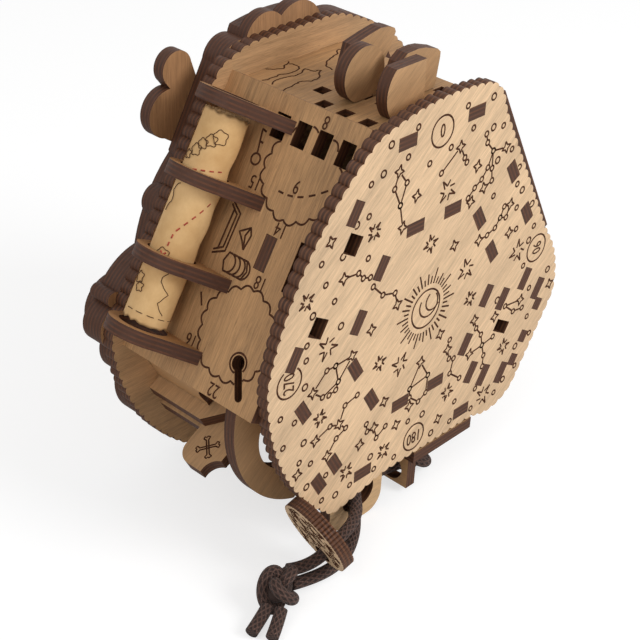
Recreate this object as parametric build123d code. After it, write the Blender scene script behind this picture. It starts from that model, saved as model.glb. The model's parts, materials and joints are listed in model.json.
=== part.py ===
from build123d import *
import os
from math import cos, pi, radians, sin, sqrt, tan

# A wooden puzzle box cut from thin ply. A back plate and a front plate hold a hexagonal core
# and an outer ring of walls between them. Hooks on the upper left wall carry a rolled map,
# grips slide on the top wall, a handle and a tab pull on the lower left, and a dial turns in
# the lobed front. Millimetres, +Z up, the back plate faces -Y, and the box stands on z = 0.

# ---- driving dimensions ----
PLY = 4.0                # thickness of every plate
INSIDE_DEPTH = 53.0      # clear depth between the back and front plates
FIT = 0.1                # clearance on each side of a tenon in its slot
RUN = 0.3                # clearance beside a piece that slides or turns
PIN_RUN = 0.06           # radial clearance of an axle in its hole

CORE_LINE = 30.0         # axis to the middle of a core wall
TOP_LINE = 58.35         # axis to the middle of each outer wall, flank by flank
SCROLL_LINE = 51.6
UPPER_RIGHT_LINE = 47.85
LOWER_LEFT_LINE = 50.7
GUARD_LINE = 58.2
BOTTOM_LINE = 48.1
POCKET_LINE = 40.2
LOWER_RIGHT_LINE = 48.3
SHIELD_LINE = 58.7
TENON = 7.4              # length of a tenon along its wall

SCALLOP = 3.7            # pitch of the scalloped edges
SCALLOP_RISE = 0.9
FRONT_RADIUS = 71.5      # front plate
STANDING_FLAT = 1.0      # depth of the flat that is cut off the front plate, to stand on
AXIS_HEIGHT = FRONT_RADIUS - STANDING_FLAT   # height of the core's axis above the ground
LOBE_MARGIN = 1.4        # lobed layers, beyond the front plate
LOBE_RADIUS = FRONT_RADIUS + LOBE_MARGIN
DIAL_RADIUS = 36.0
DIAL_AXLE_RADIUS = 3.0
KNOB_RADIUS = 14.0

SCROLL_RADIUS = 7.0      # rolled map
SCROLL_CORE = 4.6
SCROLL_LENGTH = 63.0
HOOK_BAND = 3.4          # wood over the roll in each hook
HOOK_PLACES = (-34.5, -12.6, 12.0, 34.5)
SCROLL_GAP = 0.9         # between the roll and the wall behind it
SCROLL_SEAT = SCROLL_LINE + PLY / 2 + SCROLL_GAP + SCROLL_RADIUS

GRIP_TRAVEL = 3.0        # grips, each way
NECK = 6.0
HANDLE_TRAVEL = 6.0
TAB_TRAVEL = 10.0

CORD = 3.8               # cord diameter
COIN_RADIUS = 12.6
COIN_HOLE = 3.1

# ---- depths, from the back face of the back plate forwards ----
FRONT_STACK = 4 * PLY    # front plate, two lobed layers and the petal layer
DIAL_GAP = RUN
KNOB_HEIGHT = PLY
TOTAL_DEPTH = PLY + INSIDE_DEPTH + FRONT_STACK + DIAL_GAP + KNOB_HEIGHT
BACK = -TOTAL_DEPTH / 2
INNER_BACK = BACK + PLY
INNER_FRONT = INNER_BACK + INSIDE_DEPTH
FRONT_PLATE_END = INNER_FRONT + PLY
LOBES_INNER_END = FRONT_PLATE_END + PLY
LOBES_OUTER_END = LOBES_INNER_END + PLY

# ---- the six flanks, by the angle of their outward normal ----
TOP, UPPER_RIGHT, LOWER_RIGHT, BOTTOM, LOWER_LEFT, UPPER_LEFT = 90, 30, -30, -90, 210, 150
HALF = PLY / 2
CORE_HALF_WIDTH = (CORE_LINE - HALF) / sqrt(3) - FIT
CORE_TENONS = (-8.25, 8.25)

# The origin is under the middle of the box, between the lowest hook and the lobes.
HOOK_REACH = (SCROLL_SEAT + SCROLL_RADIUS + HOOK_BAND) * cos(radians(30))
HOOK_REACH += (HALF - HOOK_PLACES[0]) * sin(radians(30))
AXIS_X = (HOOK_REACH - LOBE_RADIUS) / 2

PIECES = {}


def outward(angle):
    """Unit vector out of a flank."""
    return Vector(cos(radians(angle)), 0, sin(radians(angle)))


def along(angle):
    """Unit vector along a flank, clockwise as seen from the back."""
    out = outward(angle)
    return Vector(out.Z, 0, -out.X)


def on_axis(vector, y=0.0):
    """A point given from the core's axis, in the part's frame."""
    return Vector(vector.X + AXIS_X, y, vector.Z + AXIS_HEIGHT)


def flank_plane(angle, distance):
    """Plane of a wall: its x runs along the flank and its y is the part's Y."""
    return Plane(origin=on_axis(outward(angle) * distance), x_dir=along(angle), z_dir=outward(angle))


def cross_plane(angle, place):
    """Plane across a flank at a place along it: its x points outwards and its y is the part's Y."""
    return Plane(origin=on_axis(along(angle) * place), x_dir=outward(angle), z_dir=-along(angle))


def facing_plane(y):
    """Plane parallel to the back plate: its x and y are measured from the core's axis."""
    return Plane(origin=(AXIS_X, y, AXIS_HEIGHT), x_dir=(1, 0, 0), z_dir=(0, -1, 0))


def box_2d(x_low, x_high, y_low, y_high):
    """Rectangle between two corners."""
    return Pos((x_low + x_high) / 2, (y_low + y_high) / 2) * Rectangle(x_high - x_low, y_high - y_low)


def plate(sketch, y_back, thickness=PLY):
    """Plate parallel to the back plate, its back face at y_back."""
    return extrude(facing_plane(y_back + thickness) * sketch, amount=thickness, dir=(0, -1, 0))


def wall_solid(sketch, angle, line):
    """Plate along a flank, its middle at line."""
    return extrude(flank_plane(angle, line) * sketch, amount=HALF, both=True)


def wall_sketch(low, high, back_tenons, front_tenons, y_low=INNER_BACK, y_high=INNER_FRONT):
    """Rectangle of a wall with its tenons."""
    sketch = box_2d(low, high, y_low, y_high)
    for place in back_tenons:
        sketch += box_2d(place - TENON / 2, place + TENON / 2, BACK, y_low)
    for place in front_tenons:
        sketch += box_2d(place - TENON / 2, place + TENON / 2, y_high, FRONT_PLATE_END)
    return sketch


def slot(angle, line, place, length=TENON, width=PLY, clearance=FIT):
    """Slot in a plate parallel to the back plate, for a tenon of a flank's wall."""
    spot = outward(angle) * line + along(angle) * place
    size = (length + 2 * clearance, width + 2 * clearance)
    return Pos(spot.X, spot.Z) * Rot(0, 0, angle - 90) * Rectangle(*size)


def scalloped(outline):
    """Turn a smooth closed wire into a face edged with small outward arcs."""
    count = round(outline.length / SCALLOP)
    points = [outline.position_at(index / count) for index in range(count)]
    centre = sum(points, Vector(0, 0, 0)) / count
    arcs = []
    for index, point in enumerate(points):
        after = points[(index + 1) % count]
        middle = (point + after) / 2
        side = Vector(after.Y - point.Y, point.X - after.X, 0).normalized()
        if side.dot(middle - centre) < 0:
            side = side * -1
        arcs.append(ThreePointArc(point, middle + side * SCALLOP_RISE, after))
    return Face(Wire(arcs))


def keep(name, solid):
    """Store a piece under its node name."""
    PIECES[name] = solid
    return solid


EAR_TENON = 23.5         # the bottom wall's tenon that also passes the cord's ear

# ---- walls: name, flank, line, ends along the flank, back tenons, front tenons ----
WALLS = {
    "top_wall": (TOP, TOP_LINE, -22.2, 21.6, (-14.7, 14.9), (-14.7, 14.9)),
    "scroll_wall": (UPPER_LEFT, SCROLL_LINE, -42.6, 42.6, (-22.0, 20.6), (-22.0, 20.6)),
    "upper_right_wall": (UPPER_RIGHT, UPPER_RIGHT_LINE, -36.5, 38.0, (-10.2, 10.0), (-10.2, 10.0)),
    "lower_right_wall": (LOWER_RIGHT, LOWER_RIGHT_LINE, -23.0, 23.5, (-16.7, 17.0), (-16.7, 17.0)),
    "pocket_wall": (LOWER_RIGHT, POCKET_LINE, -14.0, 21.5, (-8.6, 16.8), (-8.6, 16.8)),
    "shield_wall": (LOWER_RIGHT, SHIELD_LINE, -20.0, 20.0, (-14.9, 15.1), (-14.9, 15.1)),
    "bottom_wall": (BOTTOM, BOTTOM_LINE, -28.0, 27.4, (-23.5, EAR_TENON), (-23.5, 23.5)),
    "lower_left_wall": (LOWER_LEFT, LOWER_LEFT_LINE, -21.5, 26.0, (-14.6, 14.7), (-14.6, 14.7)),
}
CORE_FLANKS = {
    "top": TOP, "upper_right": UPPER_RIGHT, "lower_right": LOWER_RIGHT,
    "bottom": BOTTOM, "lower_left": LOWER_LEFT, "upper_left": UPPER_LEFT,
}
GUARD_SPAN = (3.6, 21.0)
GUARD_DEPTH = 35.0
GUARD_ARC = 8.0
COVER_SPAN = (-14.0, 14.0)
COVER_TENONS = (-10.0, 1.6, 10.0)
STUB_PLACE = -14.7
STUB_DEPTH = 12.0

# ---- pieces that cross the walls: place along the flank, and depth behind the back face ----
HANDLE_PLACE = -4.9
HANDLE_DEPTH = 13.4
HANDLE_NECK = 28.0
HANDLE_HEAD = 50.0
HANDLE_ARC = 38.0
HANDLE_APEX = 71.6
HANDLE_SHOULDER = 56.0
HANDLE_BAR = 36.0
HANDLE_HOLE = 15.0
HANDLE_HOLE_APEX = 63.6
TAB_PLACE = -3.0
TAB_DEPTH = (22.0, 36.0)
TAB_TIP = 77.0
TAB_FOOT = 7.0           # half length of the foot behind the wall
TAB_LAP = 3.0
RAIL_DEPTH = 28.5
RAIL_TOP = 65.0
# grips: depth of the front plate and of the fin behind it, then the front disc's centre, radius, top and right edge
GRIPS = {
    "a": (9.0, 15.6, (-3.5, 67.4), 10.5, 75.0, 1.8),
    "b": (23.4, 29.6, (-7.0, 68.1), 8.2, 77.0, 2.0),
}
# outline of each fin above the top wall, from its right foot round to its left foot
FINS = {
    "a": (
        (14.6, 60.65), (15.4, 65.7), (16.0, 69.6), (16.0, 71.2), (14.6, 72.4), (9.0, 74.2),
        (6.0, 74.6), (1.4, 74.4), (-1.6, 72.4), (-4.5, 66.0), (-3.6, 60.65),
    ),
    "b": (
        (6.2, 60.65), (8.0, 66.0), (10.9, 69.9), (12.6, 73.8), (12.0, 75.0), (9.4, 76.1),
        (6.0, 76.5), (1.4, 75.7), (-5.4, 74.2), (-8.0, 66.0), (-5.0, 60.65),
    ),
}
SLIDER_HALF = 14.0       # half length of the slider under each grip
SLIDER_EDGE = 1.4        # its wood beyond the slots
RIB_DEPTH = 19.4
RIB_TENON = 10.0
RIB_PLACE = 0.4
WINDOW = (7.2, 5.0)
WINDOW_PLACE = 33.6
WINDOW_DEPTHS = (9.1, 17.4, 25.3, 33.3)
POCKET_WINDOW = (22.0, 30.0)
POCKET_DEPTH = 31.0
LID_SPAN = (-34.0, 30.0)
LID_DEPTH = (8.3, 52.7)

# ---- the cord's ear under the back plate, the shelf and block that stop it, and the foot ----
EAR_SPAN = (-32.5, -9.0)
EAR_TOP = -45.6
EAR_HOLE = (-20.0, -60.6)
EAR_HOLE_SIZE = (14.0, 10.2)
EAR_ROUND = 6.0
SHELF_SPAN = (1.2, 29.7)
SHELF_DEPTH = 24.0
SHELF_DROP = 3.6         # shelf under the bottom wall
BLOCK_DEPTH = (2.0, 20.0)
BLOCK_DROP = 11.0
BLOCK_HOLE = (9.0, -63.2)
BLOCK_HOLE_RADIUS = 4.6
FOOT_SPAN = (14.0, 30.0)
FOOT_DEPTH = 33.0


def drop_slot_sketch(size, places):
    """Several rectangles of one size."""
    sketch = Sketch()
    for x, y in places:
        sketch += Pos(x, y) * Rectangle(*size)
    return sketch


# ---- openings in the walls, in each wall's own plane ----
def wall_openings():
    """Windows and slots, wall by wall."""
    handle_mid = BACK + HANDLE_DEPTH + HALF
    rib_mid = BACK + RIB_DEPTH + HALF
    grip_slots = []
    for first, second, *_ in GRIPS.values():
        for depth in (first, second):
            grip_slots.append((0, BACK + depth + HALF))
    keyhole = Pos(-30.0, BACK + 15.6) * Circle(2.25)
    keyhole += Pos(-34.2, BACK + 13.35) * Rot(0, 0, 28.2) * SlotOverall(12.0, 2.6)
    top_windows = [(-17.1, 12.5), (-17.1, 20.7), (-17.1, 28.8), (-10.6, 35.6), (15.3, 13.2)]
    tab_low = BACK + TAB_DEPTH[0] - RUN
    tab_high = BACK + TAB_DEPTH[1] + TAB_TRAVEL + RUN
    scroll = drop_slot_sketch(WINDOW, [(WINDOW_PLACE, BACK + depth) for depth in WINDOW_DEPTHS])
    scroll += box_2d(-6.9, 7.7, BACK + 9.0, BACK + 11.5) + keyhole
    scroll += Pos(RIB_PLACE, rib_mid) * Rectangle(RIB_TENON + 2 * FIT, PLY + 2 * FIT)
    top = drop_slot_sketch((NECK + 2 * GRIP_TRAVEL + 2 * RUN, PLY + 2 * RUN), grip_slots)
    top += drop_slot_sketch((4.2, 4.0), [(x, BACK + depth) for x, depth in top_windows])
    lower_left = Pos(HANDLE_PLACE, handle_mid) * Rectangle(HANDLE_NECK + 2 * RUN, PLY + 2 * RUN)
    lower_left += box_2d(TAB_PLACE - HALF - RUN, TAB_PLACE + HALF + RUN, tab_low, tab_high)
    pocket = Pos(0, BACK + POCKET_DEPTH) * Rectangle(*POCKET_WINDOW)
    ear_notch = box_2d(-EAR_SPAN[1] - FIT, -EAR_SPAN[0] + FIT, INNER_BACK, INNER_BACK + PLY + FIT)
    ear_notch -= box_2d(EAR_TENON - TENON / 2, EAR_TENON + TENON / 2, BACK, INNER_FRONT)
    foot = Pos(-sum(FOOT_SPAN) / 2, BACK + FOOT_DEPTH + HALF)
    foot_slot = foot * Rectangle(TENON + 2 * FIT, PLY + 2 * FIT)
    block = Pos(-SHELF_SPAN[0] - HALF, BACK + sum(BLOCK_DEPTH) / 2)
    block_slot = block * Rectangle(PLY + 2 * FIT, TENON + 2 * FIT)
    return {
        "scroll_wall": scroll, "top_wall": top, "lower_left_wall": lower_left,
        "upper_right_wall": pocket, "bottom_wall": ear_notch + foot_slot + block_slot,
    }


def build_walls():
    """The outer walls and the hexagonal core."""
    openings = wall_openings()
    for name, (angle, line, low, high, back_tenons, front_tenons) in WALLS.items():
        sketch = wall_sketch(low, high, back_tenons, front_tenons)
        if name in openings:
            sketch -= openings[name]
        keep(name, wall_solid(sketch, angle, line))
    for name, angle in CORE_FLANKS.items():
        sketch = wall_sketch(-CORE_HALF_WIDTH, CORE_HALF_WIDTH, CORE_TENONS, CORE_TENONS)
        if angle == UPPER_RIGHT:
            sketch -= Pos(0, BACK + POCKET_DEPTH) * Rectangle(*POCKET_WINDOW)
        if angle == UPPER_LEFT:
            rib_mid = BACK + RIB_DEPTH + HALF
            sketch -= Pos(RIB_PLACE, rib_mid) * Rectangle(RIB_TENON + 2 * FIT, PLY + 2 * FIT)
        keep("core_wall_" + name, wall_solid(sketch, angle, CORE_LINE))


def wall_slots(front):
    """Slots for every wall that reaches a plate."""
    sketch = Sketch()
    for angle, line, low, high, back_tenons, front_tenons in WALLS.values():
        for place in front_tenons if front else back_tenons:
            sketch += slot(angle, line, place)
    for angle in CORE_FLANKS.values():
        for place in CORE_TENONS:
            sketch += slot(angle, CORE_LINE, place)
    return sketch


# ---- back plate ----
def back_outline():
    """Smooth outline that the back plate's scallops follow."""
    left = (-65.0, 1.2)
    return Wire([
        ThreePointArc(left, (-50.6, 36.6), (-26.7, 61.8)),
        ThreePointArc((-26.7, 61.8), (0, 66.6), (21.0, 65.0)),
        ThreePointArc((21.0, 65.0), (25.6, 61.8), (28.1, 55.5)),
        Line((28.1, 55.5), (58.7, 3.9)),
        ThreePointArc((58.7, 3.9), (66.0, -9.3), (67.0, -21.4)),
        Line((67.0, -21.4), (49.8, -49.8)),
        ThreePointArc((49.8, -49.8), (40.0, -54.4), (30.3, -52.4)),
        Line((30.3, -52.4), (-15.0, -52.4)),
        ThreePointArc((-15.0, -52.4), (-27.0, -55.0), (-36.0, -56.4)),
        ThreePointArc((-36.0, -56.4), (-54.2, -36.0), left),
    ])


def build_back():
    """Back plate with its slots and windows, and two small pieces that end in it."""
    sketch = scalloped(back_outline()) - wall_slots(front=False)
    sketch -= slot(LOWER_LEFT, GUARD_LINE, STUB_PLACE)
    for x, z in ((-34.6, 34.3), (-46.8, 13.1)):
        sketch -= Pos(x, z) * Rot(0, 0, 60) * Rectangle(6.0, 6.0)
    sketch -= Pos(40.3, -23.4) * Rot(0, 0, -30) * Rectangle(7.5, 4.2)
    cover_line = SHIELD_LINE + PLY
    cover = box_2d(*COVER_SPAN, INNER_BACK, INNER_FRONT)
    for place in COVER_TENONS:
        sketch -= slot(LOWER_RIGHT, cover_line, place, length=PLY)
        cover += box_2d(place - HALF, place + HALF, BACK, INNER_BACK)
    keep("back_plate", plate(sketch, BACK))
    keep("shield_cover", wall_solid(cover, LOWER_RIGHT, cover_line))
    stub = box_2d(STUB_PLACE - TENON / 2, STUB_PLACE + TENON / 2, BACK, BACK + STUB_DEPTH)
    keep("lower_left_stub", wall_solid(stub, LOWER_LEFT, GUARD_LINE))


def build_ear():
    """Ear plate behind the back plate, the shelf and block that stop the cord, and the foot."""
    ground = -AXIS_HEIGHT
    ear = box_2d(*EAR_SPAN, ground, EAR_TOP)
    ear = fillet(ear.vertices().group_by(Axis.Y)[0], EAR_ROUND)
    ear -= Pos(*EAR_HOLE) * SlotOverall(*EAR_HOLE_SIZE)
    ear -= slot(BOTTOM, BOTTOM_LINE, EAR_TENON)
    keep("cord_ear", plate(ear, INNER_BACK))
    under = -BOTTOM_LINE - HALF
    shelf_top = under - SHELF_DROP
    shelf_bottom = shelf_top - PLY
    block_depth = BACK + sum(BLOCK_DEPTH) / 2
    block_tenon = (PLY + 2 * FIT, TENON + 2 * FIT)
    shelf = box_2d(*SHELF_SPAN, BACK, BACK + SHELF_DEPTH)
    shelf -= Pos(SHELF_SPAN[0] + HALF, block_depth) * Rectangle(*block_tenon)
    level = Plane(origin=(AXIS_X, 0, AXIS_HEIGHT + shelf_bottom))
    keep("cord_shelf", extrude(level * shelf, amount=PLY))
    block = box_2d(BACK + BLOCK_DEPTH[0], BACK + BLOCK_DEPTH[1], shelf_bottom - BLOCK_DROP, shelf_bottom)
    block += box_2d(block_depth - TENON / 2, block_depth + TENON / 2, shelf_bottom, under + PLY)
    block -= Pos(BACK + BLOCK_HOLE[0], BLOCK_HOLE[1]) * Circle(BLOCK_HOLE_RADIUS)
    side_start = (AXIS_X + SHELF_SPAN[0], 0, AXIS_HEIGHT)
    side = Plane(origin=side_start, x_dir=(0, 1, 0), z_dir=(1, 0, 0))
    keep("cord_block", extrude(side * block, amount=PLY))
    foot = box_2d(*FOOT_SPAN, ground, under)
    foot += Pos(sum(FOOT_SPAN) / 2, -BOTTOM_LINE) * Rectangle(TENON, PLY)
    keep("foot", plate(foot, BACK + FOOT_DEPTH))


# ---- front plate, lobed layers and petals ----
FRONT_TOP = 69.3
FRONT_FLANK = 58.35
# lobes: valley angle, valley radius, crest radius of the arc to the next valley (0 is a straight edge)
LOBES = (
    (-78.0, 71.4, 72.4), (-56.0, 69.6, 72.6), (-34.0, 69.8, 72.8), (-13.0, 70.6, LOBE_RADIUS),
    (13.0, 70.6, 72.8), (34.0, 69.6, 72.6), (56.0, 69.4, 72.4), (77.0, 69.0, 75.8),
    (91.5, 72.9, 75.9), (103.0, 71.0, 72.2), (112.0, 68.6, 0), (135.0, 54.9, 0),
    (138.0, 50.4, 0), (145.0, 50.4, 56.0), (156.0, 50.0, 0), (165.0, 51.0, 60.5),
    (176.0, 65.4, 69.5), (179.4, 67.0, LOBE_RADIUS), (192.0, 67.5, 69.5), (204.0, 66.0, 71.6),
    (222.0, 69.6, 72.2), (240.0, 69.6, 72.2), (258.0, 71.4, 0),
)
# petals: angle, tip radius, width
PETALS = (
    (119.3, 77.4, 10.8), (127.5, 70.5, 15.0), (86.0, 70.0, 22.0), (60.0, 66.0, 18.0),
    (36.0, 68.0, 20.0), (10.0, 66.0, 18.0), (-16.0, 69.0, 22.0), (-42.0, 66.0, 18.0),
    (-66.0, 68.0, 20.0), (186.0, 69.0, 20.0), (210.0, 66.0, 18.0), (236.0, 69.0, 22.0),
)
PETAL_RING = 50.0
PETAL_WAIST = 0.2        # half width of a petal at the ring, as a share of its width
OUTER_LOBE_LIMIT = 73.0  # the outer lobed layer stays inside this radius
DIAL_GAP_RADIUS = 1.0


def polar(angle, radius):
    """Point at an angle and a radius from the axis."""
    return (radius * cos(radians(angle)), radius * sin(radians(angle)))


def flat_cut(angle, distance):
    """Large rectangle beyond a straight edge at a distance from the axis."""
    reach = 4 * FRONT_RADIUS
    return Rot(0, 0, angle) * Pos(distance + reach / 2, 0) * Rectangle(reach, reach)


def front_outline():
    """Round outline of the front plate with its three straight edges."""
    top_half = sqrt(FRONT_RADIUS ** 2 - FRONT_TOP ** 2)
    foot_half = sqrt(FRONT_RADIUS ** 2 - AXIS_HEIGHT ** 2)
    swing = degrees_of(sqrt(FRONT_RADIUS ** 2 - FRONT_FLANK ** 2), FRONT_FLANK)
    high = polar(UPPER_LEFT - swing, FRONT_RADIUS)
    low = polar(UPPER_LEFT + swing, FRONT_RADIUS)
    top_left, top_right = (-top_half, FRONT_TOP), (top_half, FRONT_TOP)
    foot_left, foot_right = (-foot_half, -AXIS_HEIGHT), (foot_half, -AXIS_HEIGHT)
    return Wire([
        Line(foot_left, foot_right),
        ThreePointArc(foot_right, (FRONT_RADIUS, 0), top_right),
        Line(top_right, top_left),
        RadiusArc(top_left, high, -FRONT_RADIUS),
        Line(high, low),
        RadiusArc(low, foot_left, -FRONT_RADIUS),
    ])


def degrees_of(opposite, adjacent):
    """Angle of a right triangle, in degrees."""
    return Vector(adjacent, opposite, 0).get_angle(Vector(1, 0, 0))


def lobed_face():
    """Face bounded by the lobes."""
    edges = []
    for index, (angle, radius, crest) in enumerate(LOBES):
        next_angle, next_radius, _ = LOBES[(index + 1) % len(LOBES)]
        start, end = polar(angle, radius), polar(next_angle, next_radius)
        turn = (next_angle - angle) % 360
        if crest:
            edges.append(ThreePointArc(start, polar(angle + turn / 2, crest), end))
        else:
            edges.append(Line(start, end))
    return Sketch() + Face(Wire(edges))


def build_front():
    """The fixed layers of the front."""
    axle_hole = Circle(DIAL_AXLE_RADIUS + PIN_RUN)
    under_ground = flat_cut(BOTTOM, AXIS_HEIGHT)
    front = Sketch() + scalloped(front_outline())
    front -= wall_slots(front=True) + axle_hole
    front -= slot(LOWER_LEFT, GUARD_LINE, sum(GUARD_SPAN) / 2)
    keep("front_plate", plate(front - under_ground, INNER_FRONT))
    lobes = lobed_face() - under_ground
    recess = Circle(DIAL_RADIUS + DIAL_GAP_RADIUS)
    keep("lobed_layer_inner", plate(lobes - axle_hole, FRONT_PLATE_END))
    outer_lobes = lobes & Circle(OUTER_LOBE_LIMIT)
    keep("lobed_layer_outer", plate(outer_lobes - recess, LOBES_INNER_END))
    petals = Sketch() + Circle(PETAL_RING)
    for angle, tip, width in PETALS:
        middle, waist = tip - width / 2, PETAL_WAIST * width
        taper = [(DIAL_RADIUS, -waist), (PETAL_RING, -waist), (middle, -width / 2)]
        taper += [(middle, width / 2), (PETAL_RING, waist), (DIAL_RADIUS, waist)]
        petals += Rot(0, 0, angle) * (Polygon(*taper, align=None) + Pos(middle, 0) * Circle(width / 2))
    petals -= flat_cut(BOTTOM, AXIS_HEIGHT) + recess
    keep("petal_layer", plate(petals, LOBES_OUTER_END))


# ---- dial ----
DIAL_BACK = LOBES_INNER_END + DIAL_GAP
KNOB_LOBES = 8
CAM_RADIUS = 12.0
CAM_FLAT = 8.0


def build_dial():
    """Dial, knob, axle and the cam behind the front plate, which turn as one."""
    bore = Circle(DIAL_AXLE_RADIUS)
    keep("front_dial", plate(Circle(DIAL_RADIUS) - bore, DIAL_BACK))
    knob = Circle(KNOB_RADIUS)
    for index in range(KNOB_LOBES):
        knob -= Rot(0, 0, 360 * index / KNOB_LOBES) * Pos(KNOB_RADIUS + 2, 0) * Circle(4.0)
    keep("dial_knob", plate(knob - bore, DIAL_BACK + PLY))
    keep("dial_cap", plate(Circle(KNOB_RADIUS / 2), DIAL_BACK + 2 * PLY))
    cam_back = INNER_FRONT - PLY - RUN
    cam = Circle(CAM_RADIUS) - Pos(CAM_FLAT + CAM_RADIUS, 0) * Rectangle(2 * CAM_RADIUS, 2 * CAM_RADIUS)
    keep("dial_cam", plate(cam - bore, cam_back))
    keep("dial_axle", plate(bore, cam_back, DIAL_BACK + 2 * PLY - cam_back))


# ---- map roll and its hooks ----
SCROLL_AXIS_DEPTH = 45.6
HOOK_START = 28.4
HOOK_LAP = 1.2


def build_scroll():
    """The rolled map, and the four hooks that it slides through."""
    plane = Plane(
        origin=on_axis(outward(UPPER_LEFT) * SCROLL_SEAT, BACK + SCROLL_AXIS_DEPTH),
        x_dir=outward(UPPER_LEFT), z_dir=along(UPPER_LEFT),
    )
    ring = Circle(SCROLL_RADIUS) - Circle(SCROLL_CORE)
    keep("map_roll", extrude(plane * ring, amount=SCROLL_LENGTH / 2, both=True))
    face = SCROLL_LINE + HALF
    centre = (SCROLL_SEAT, BACK + SCROLL_AXIS_DEPTH)
    band = SCROLL_RADIUS + HOOK_BAND
    start = (face, BACK + HOOK_START)
    apex = (centre[0] + 0.72 * band, centre[1] - 0.694 * band)
    end_x = FRONT_FLANK + HOOK_LAP
    for number, place in enumerate(HOOK_PLACES, start=1):
        outline = Polyline(
            start, apex, (centre[0] + band, centre[1]), (centre[0] + 0.72 * band, centre[1] + 0.694 * band),
            (end_x, INNER_FRONT), (face, INNER_FRONT), close=True,
        )
        hook = make_face(outline) + Pos(*centre) * Circle(band)
        hook -= box_2d(0, face, BACK, INNER_FRONT)
        hook -= box_2d(face, end_x + band, INNER_FRONT, FRONT_PLATE_END)
        hook -= Pos(*centre) * Circle(SCROLL_RADIUS + RUN)
        solid = extrude(cross_plane(UPPER_LEFT, place) * hook, amount=HALF, both=True)
        keep(f"map_hook_{number}", solid)


# ---- grips on the top wall ----
def build_grips():
    """Two grips, each of two plates whose necks pass the top wall into a slider under it."""
    wall_top = TOP_LINE + HALF + RUN
    slider_top = TOP_LINE - HALF - RUN
    for name, (first, second, centre, radius, top, right) in GRIPS.items():
        neck = box_2d(-NECK / 2, NECK / 2, slider_top - PLY, wall_top + 1)
        disc = Pos(*centre) * Circle(radius)
        disc &= box_2d(centre[0] - radius, right, wall_top, top)
        keep(f"grip_{name}_front", plate(disc + neck, BACK + first))
        fin = Polygon(*FINS[name], align=None)
        keep(f"grip_{name}_rear", plate(fin + neck, BACK + second))
        slider = box_2d(-SLIDER_HALF, SLIDER_HALF, BACK + first - SLIDER_EDGE, BACK + second + PLY + SLIDER_EDGE)
        for depth in (first, second):
            slider -= Pos(0, BACK + depth + HALF) * Rectangle(NECK + 2 * FIT, PLY + 2 * FIT)
        keep(f"grip_{name}_slider", wall_solid(slider, TOP, slider_top - HALF))


# ---- lower left: handle, tab, rails and guards ----
def build_handle():
    """Pull handle: a plate parallel to the back plate that slides out of the lower left wall."""
    arc_centre = HANDLE_APEX - HANDLE_ARC
    head = Pos(arc_centre, 0) * Circle(HANDLE_ARC)
    head &= box_2d(HANDLE_SHOULDER, HANDLE_APEX, -HANDLE_HEAD / 2, HANDLE_HEAD / 2)
    hole = Pos(HANDLE_HOLE_APEX - HANDLE_HOLE, 0) * Circle(HANDLE_HOLE)
    hole &= box_2d(HANDLE_SHOULDER + 1.5, HANDLE_HOLE_APEX, -HANDLE_HOLE, HANDLE_HOLE)
    neck = box_2d(HANDLE_BAR, HANDLE_SHOULDER + 1, -HANDLE_NECK / 2, HANDLE_NECK / 2)
    bar_end = LOWER_LEFT_LINE - HALF - HANDLE_TRAVEL - RUN
    bar = box_2d(HANDLE_BAR, bar_end, -HANDLE_NECK / 2 - PLY, HANDLE_NECK / 2 + PLY)
    handle = Pos(0, -HANDLE_PLACE) * ((head - hole) + neck + bar)
    keep("pull_handle", plate(Rot(0, 0, LOWER_LEFT) * handle, BACK + HANDLE_DEPTH))


def build_tab():
    """Tab that slides between two rails, and the guards beside them."""
    face = LOWER_LEFT_LINE + HALF
    low, high = BACK + TAB_DEPTH[0], BACK + TAB_DEPTH[1]
    middle = (low + high) / 2
    inside = LOWER_LEFT_LINE - HALF - RUN - PLY
    tab = box_2d(inside, TAB_TIP, low, high)
    tab -= Pos(TAB_TIP - 1, low - 1.5) * Circle(5.0)
    tab = fillet(tab.vertices().group_by(Axis.X)[-1].sort_by(Axis.Y)[-1:], 5.0)
    keep("pull_tab", extrude(cross_plane(LOWER_LEFT, TAB_PLACE) * tab, amount=HALF, both=True))
    foot = box_2d(TAB_PLACE - TAB_FOOT, TAB_PLACE + TAB_FOOT, low - TAB_LAP, high + TAB_LAP)
    foot -= Pos(TAB_PLACE, middle) * Rectangle(PLY + 2 * FIT, high - low + 2 * FIT)
    keep("tab_foot", wall_solid(foot, LOWER_LEFT, inside + HALF))
    rail = box_2d(face, RAIL_TOP, BACK + RAIL_DEPTH, INNER_FRONT)
    rail = chamfer(rail.vertices().group_by(Axis.X)[-1].sort_by(Axis.Y)[:1], 6.0)
    step = PLY + RUN
    for name, place in (("tab_rail_upper", TAB_PLACE + step), ("tab_rail_lower", TAB_PLACE - step)):
        keep(name, extrude(cross_plane(LOWER_LEFT, place) * rail, amount=HALF, both=True))
    middle = sum(GUARD_SPAN) / 2
    guard = wall_sketch(*GUARD_SPAN, (), (middle,), y_low=BACK + GUARD_DEPTH)
    for side in (-1, 1):
        bite = Pos(middle + side * GUARD_ARC / 2, BACK + GUARD_DEPTH - GUARD_ARC / 4)
        guard -= bite * Circle(GUARD_ARC / 2 - 0.5)
    keep("lower_left_guard", wall_solid(guard, LOWER_LEFT, GUARD_LINE))


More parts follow.
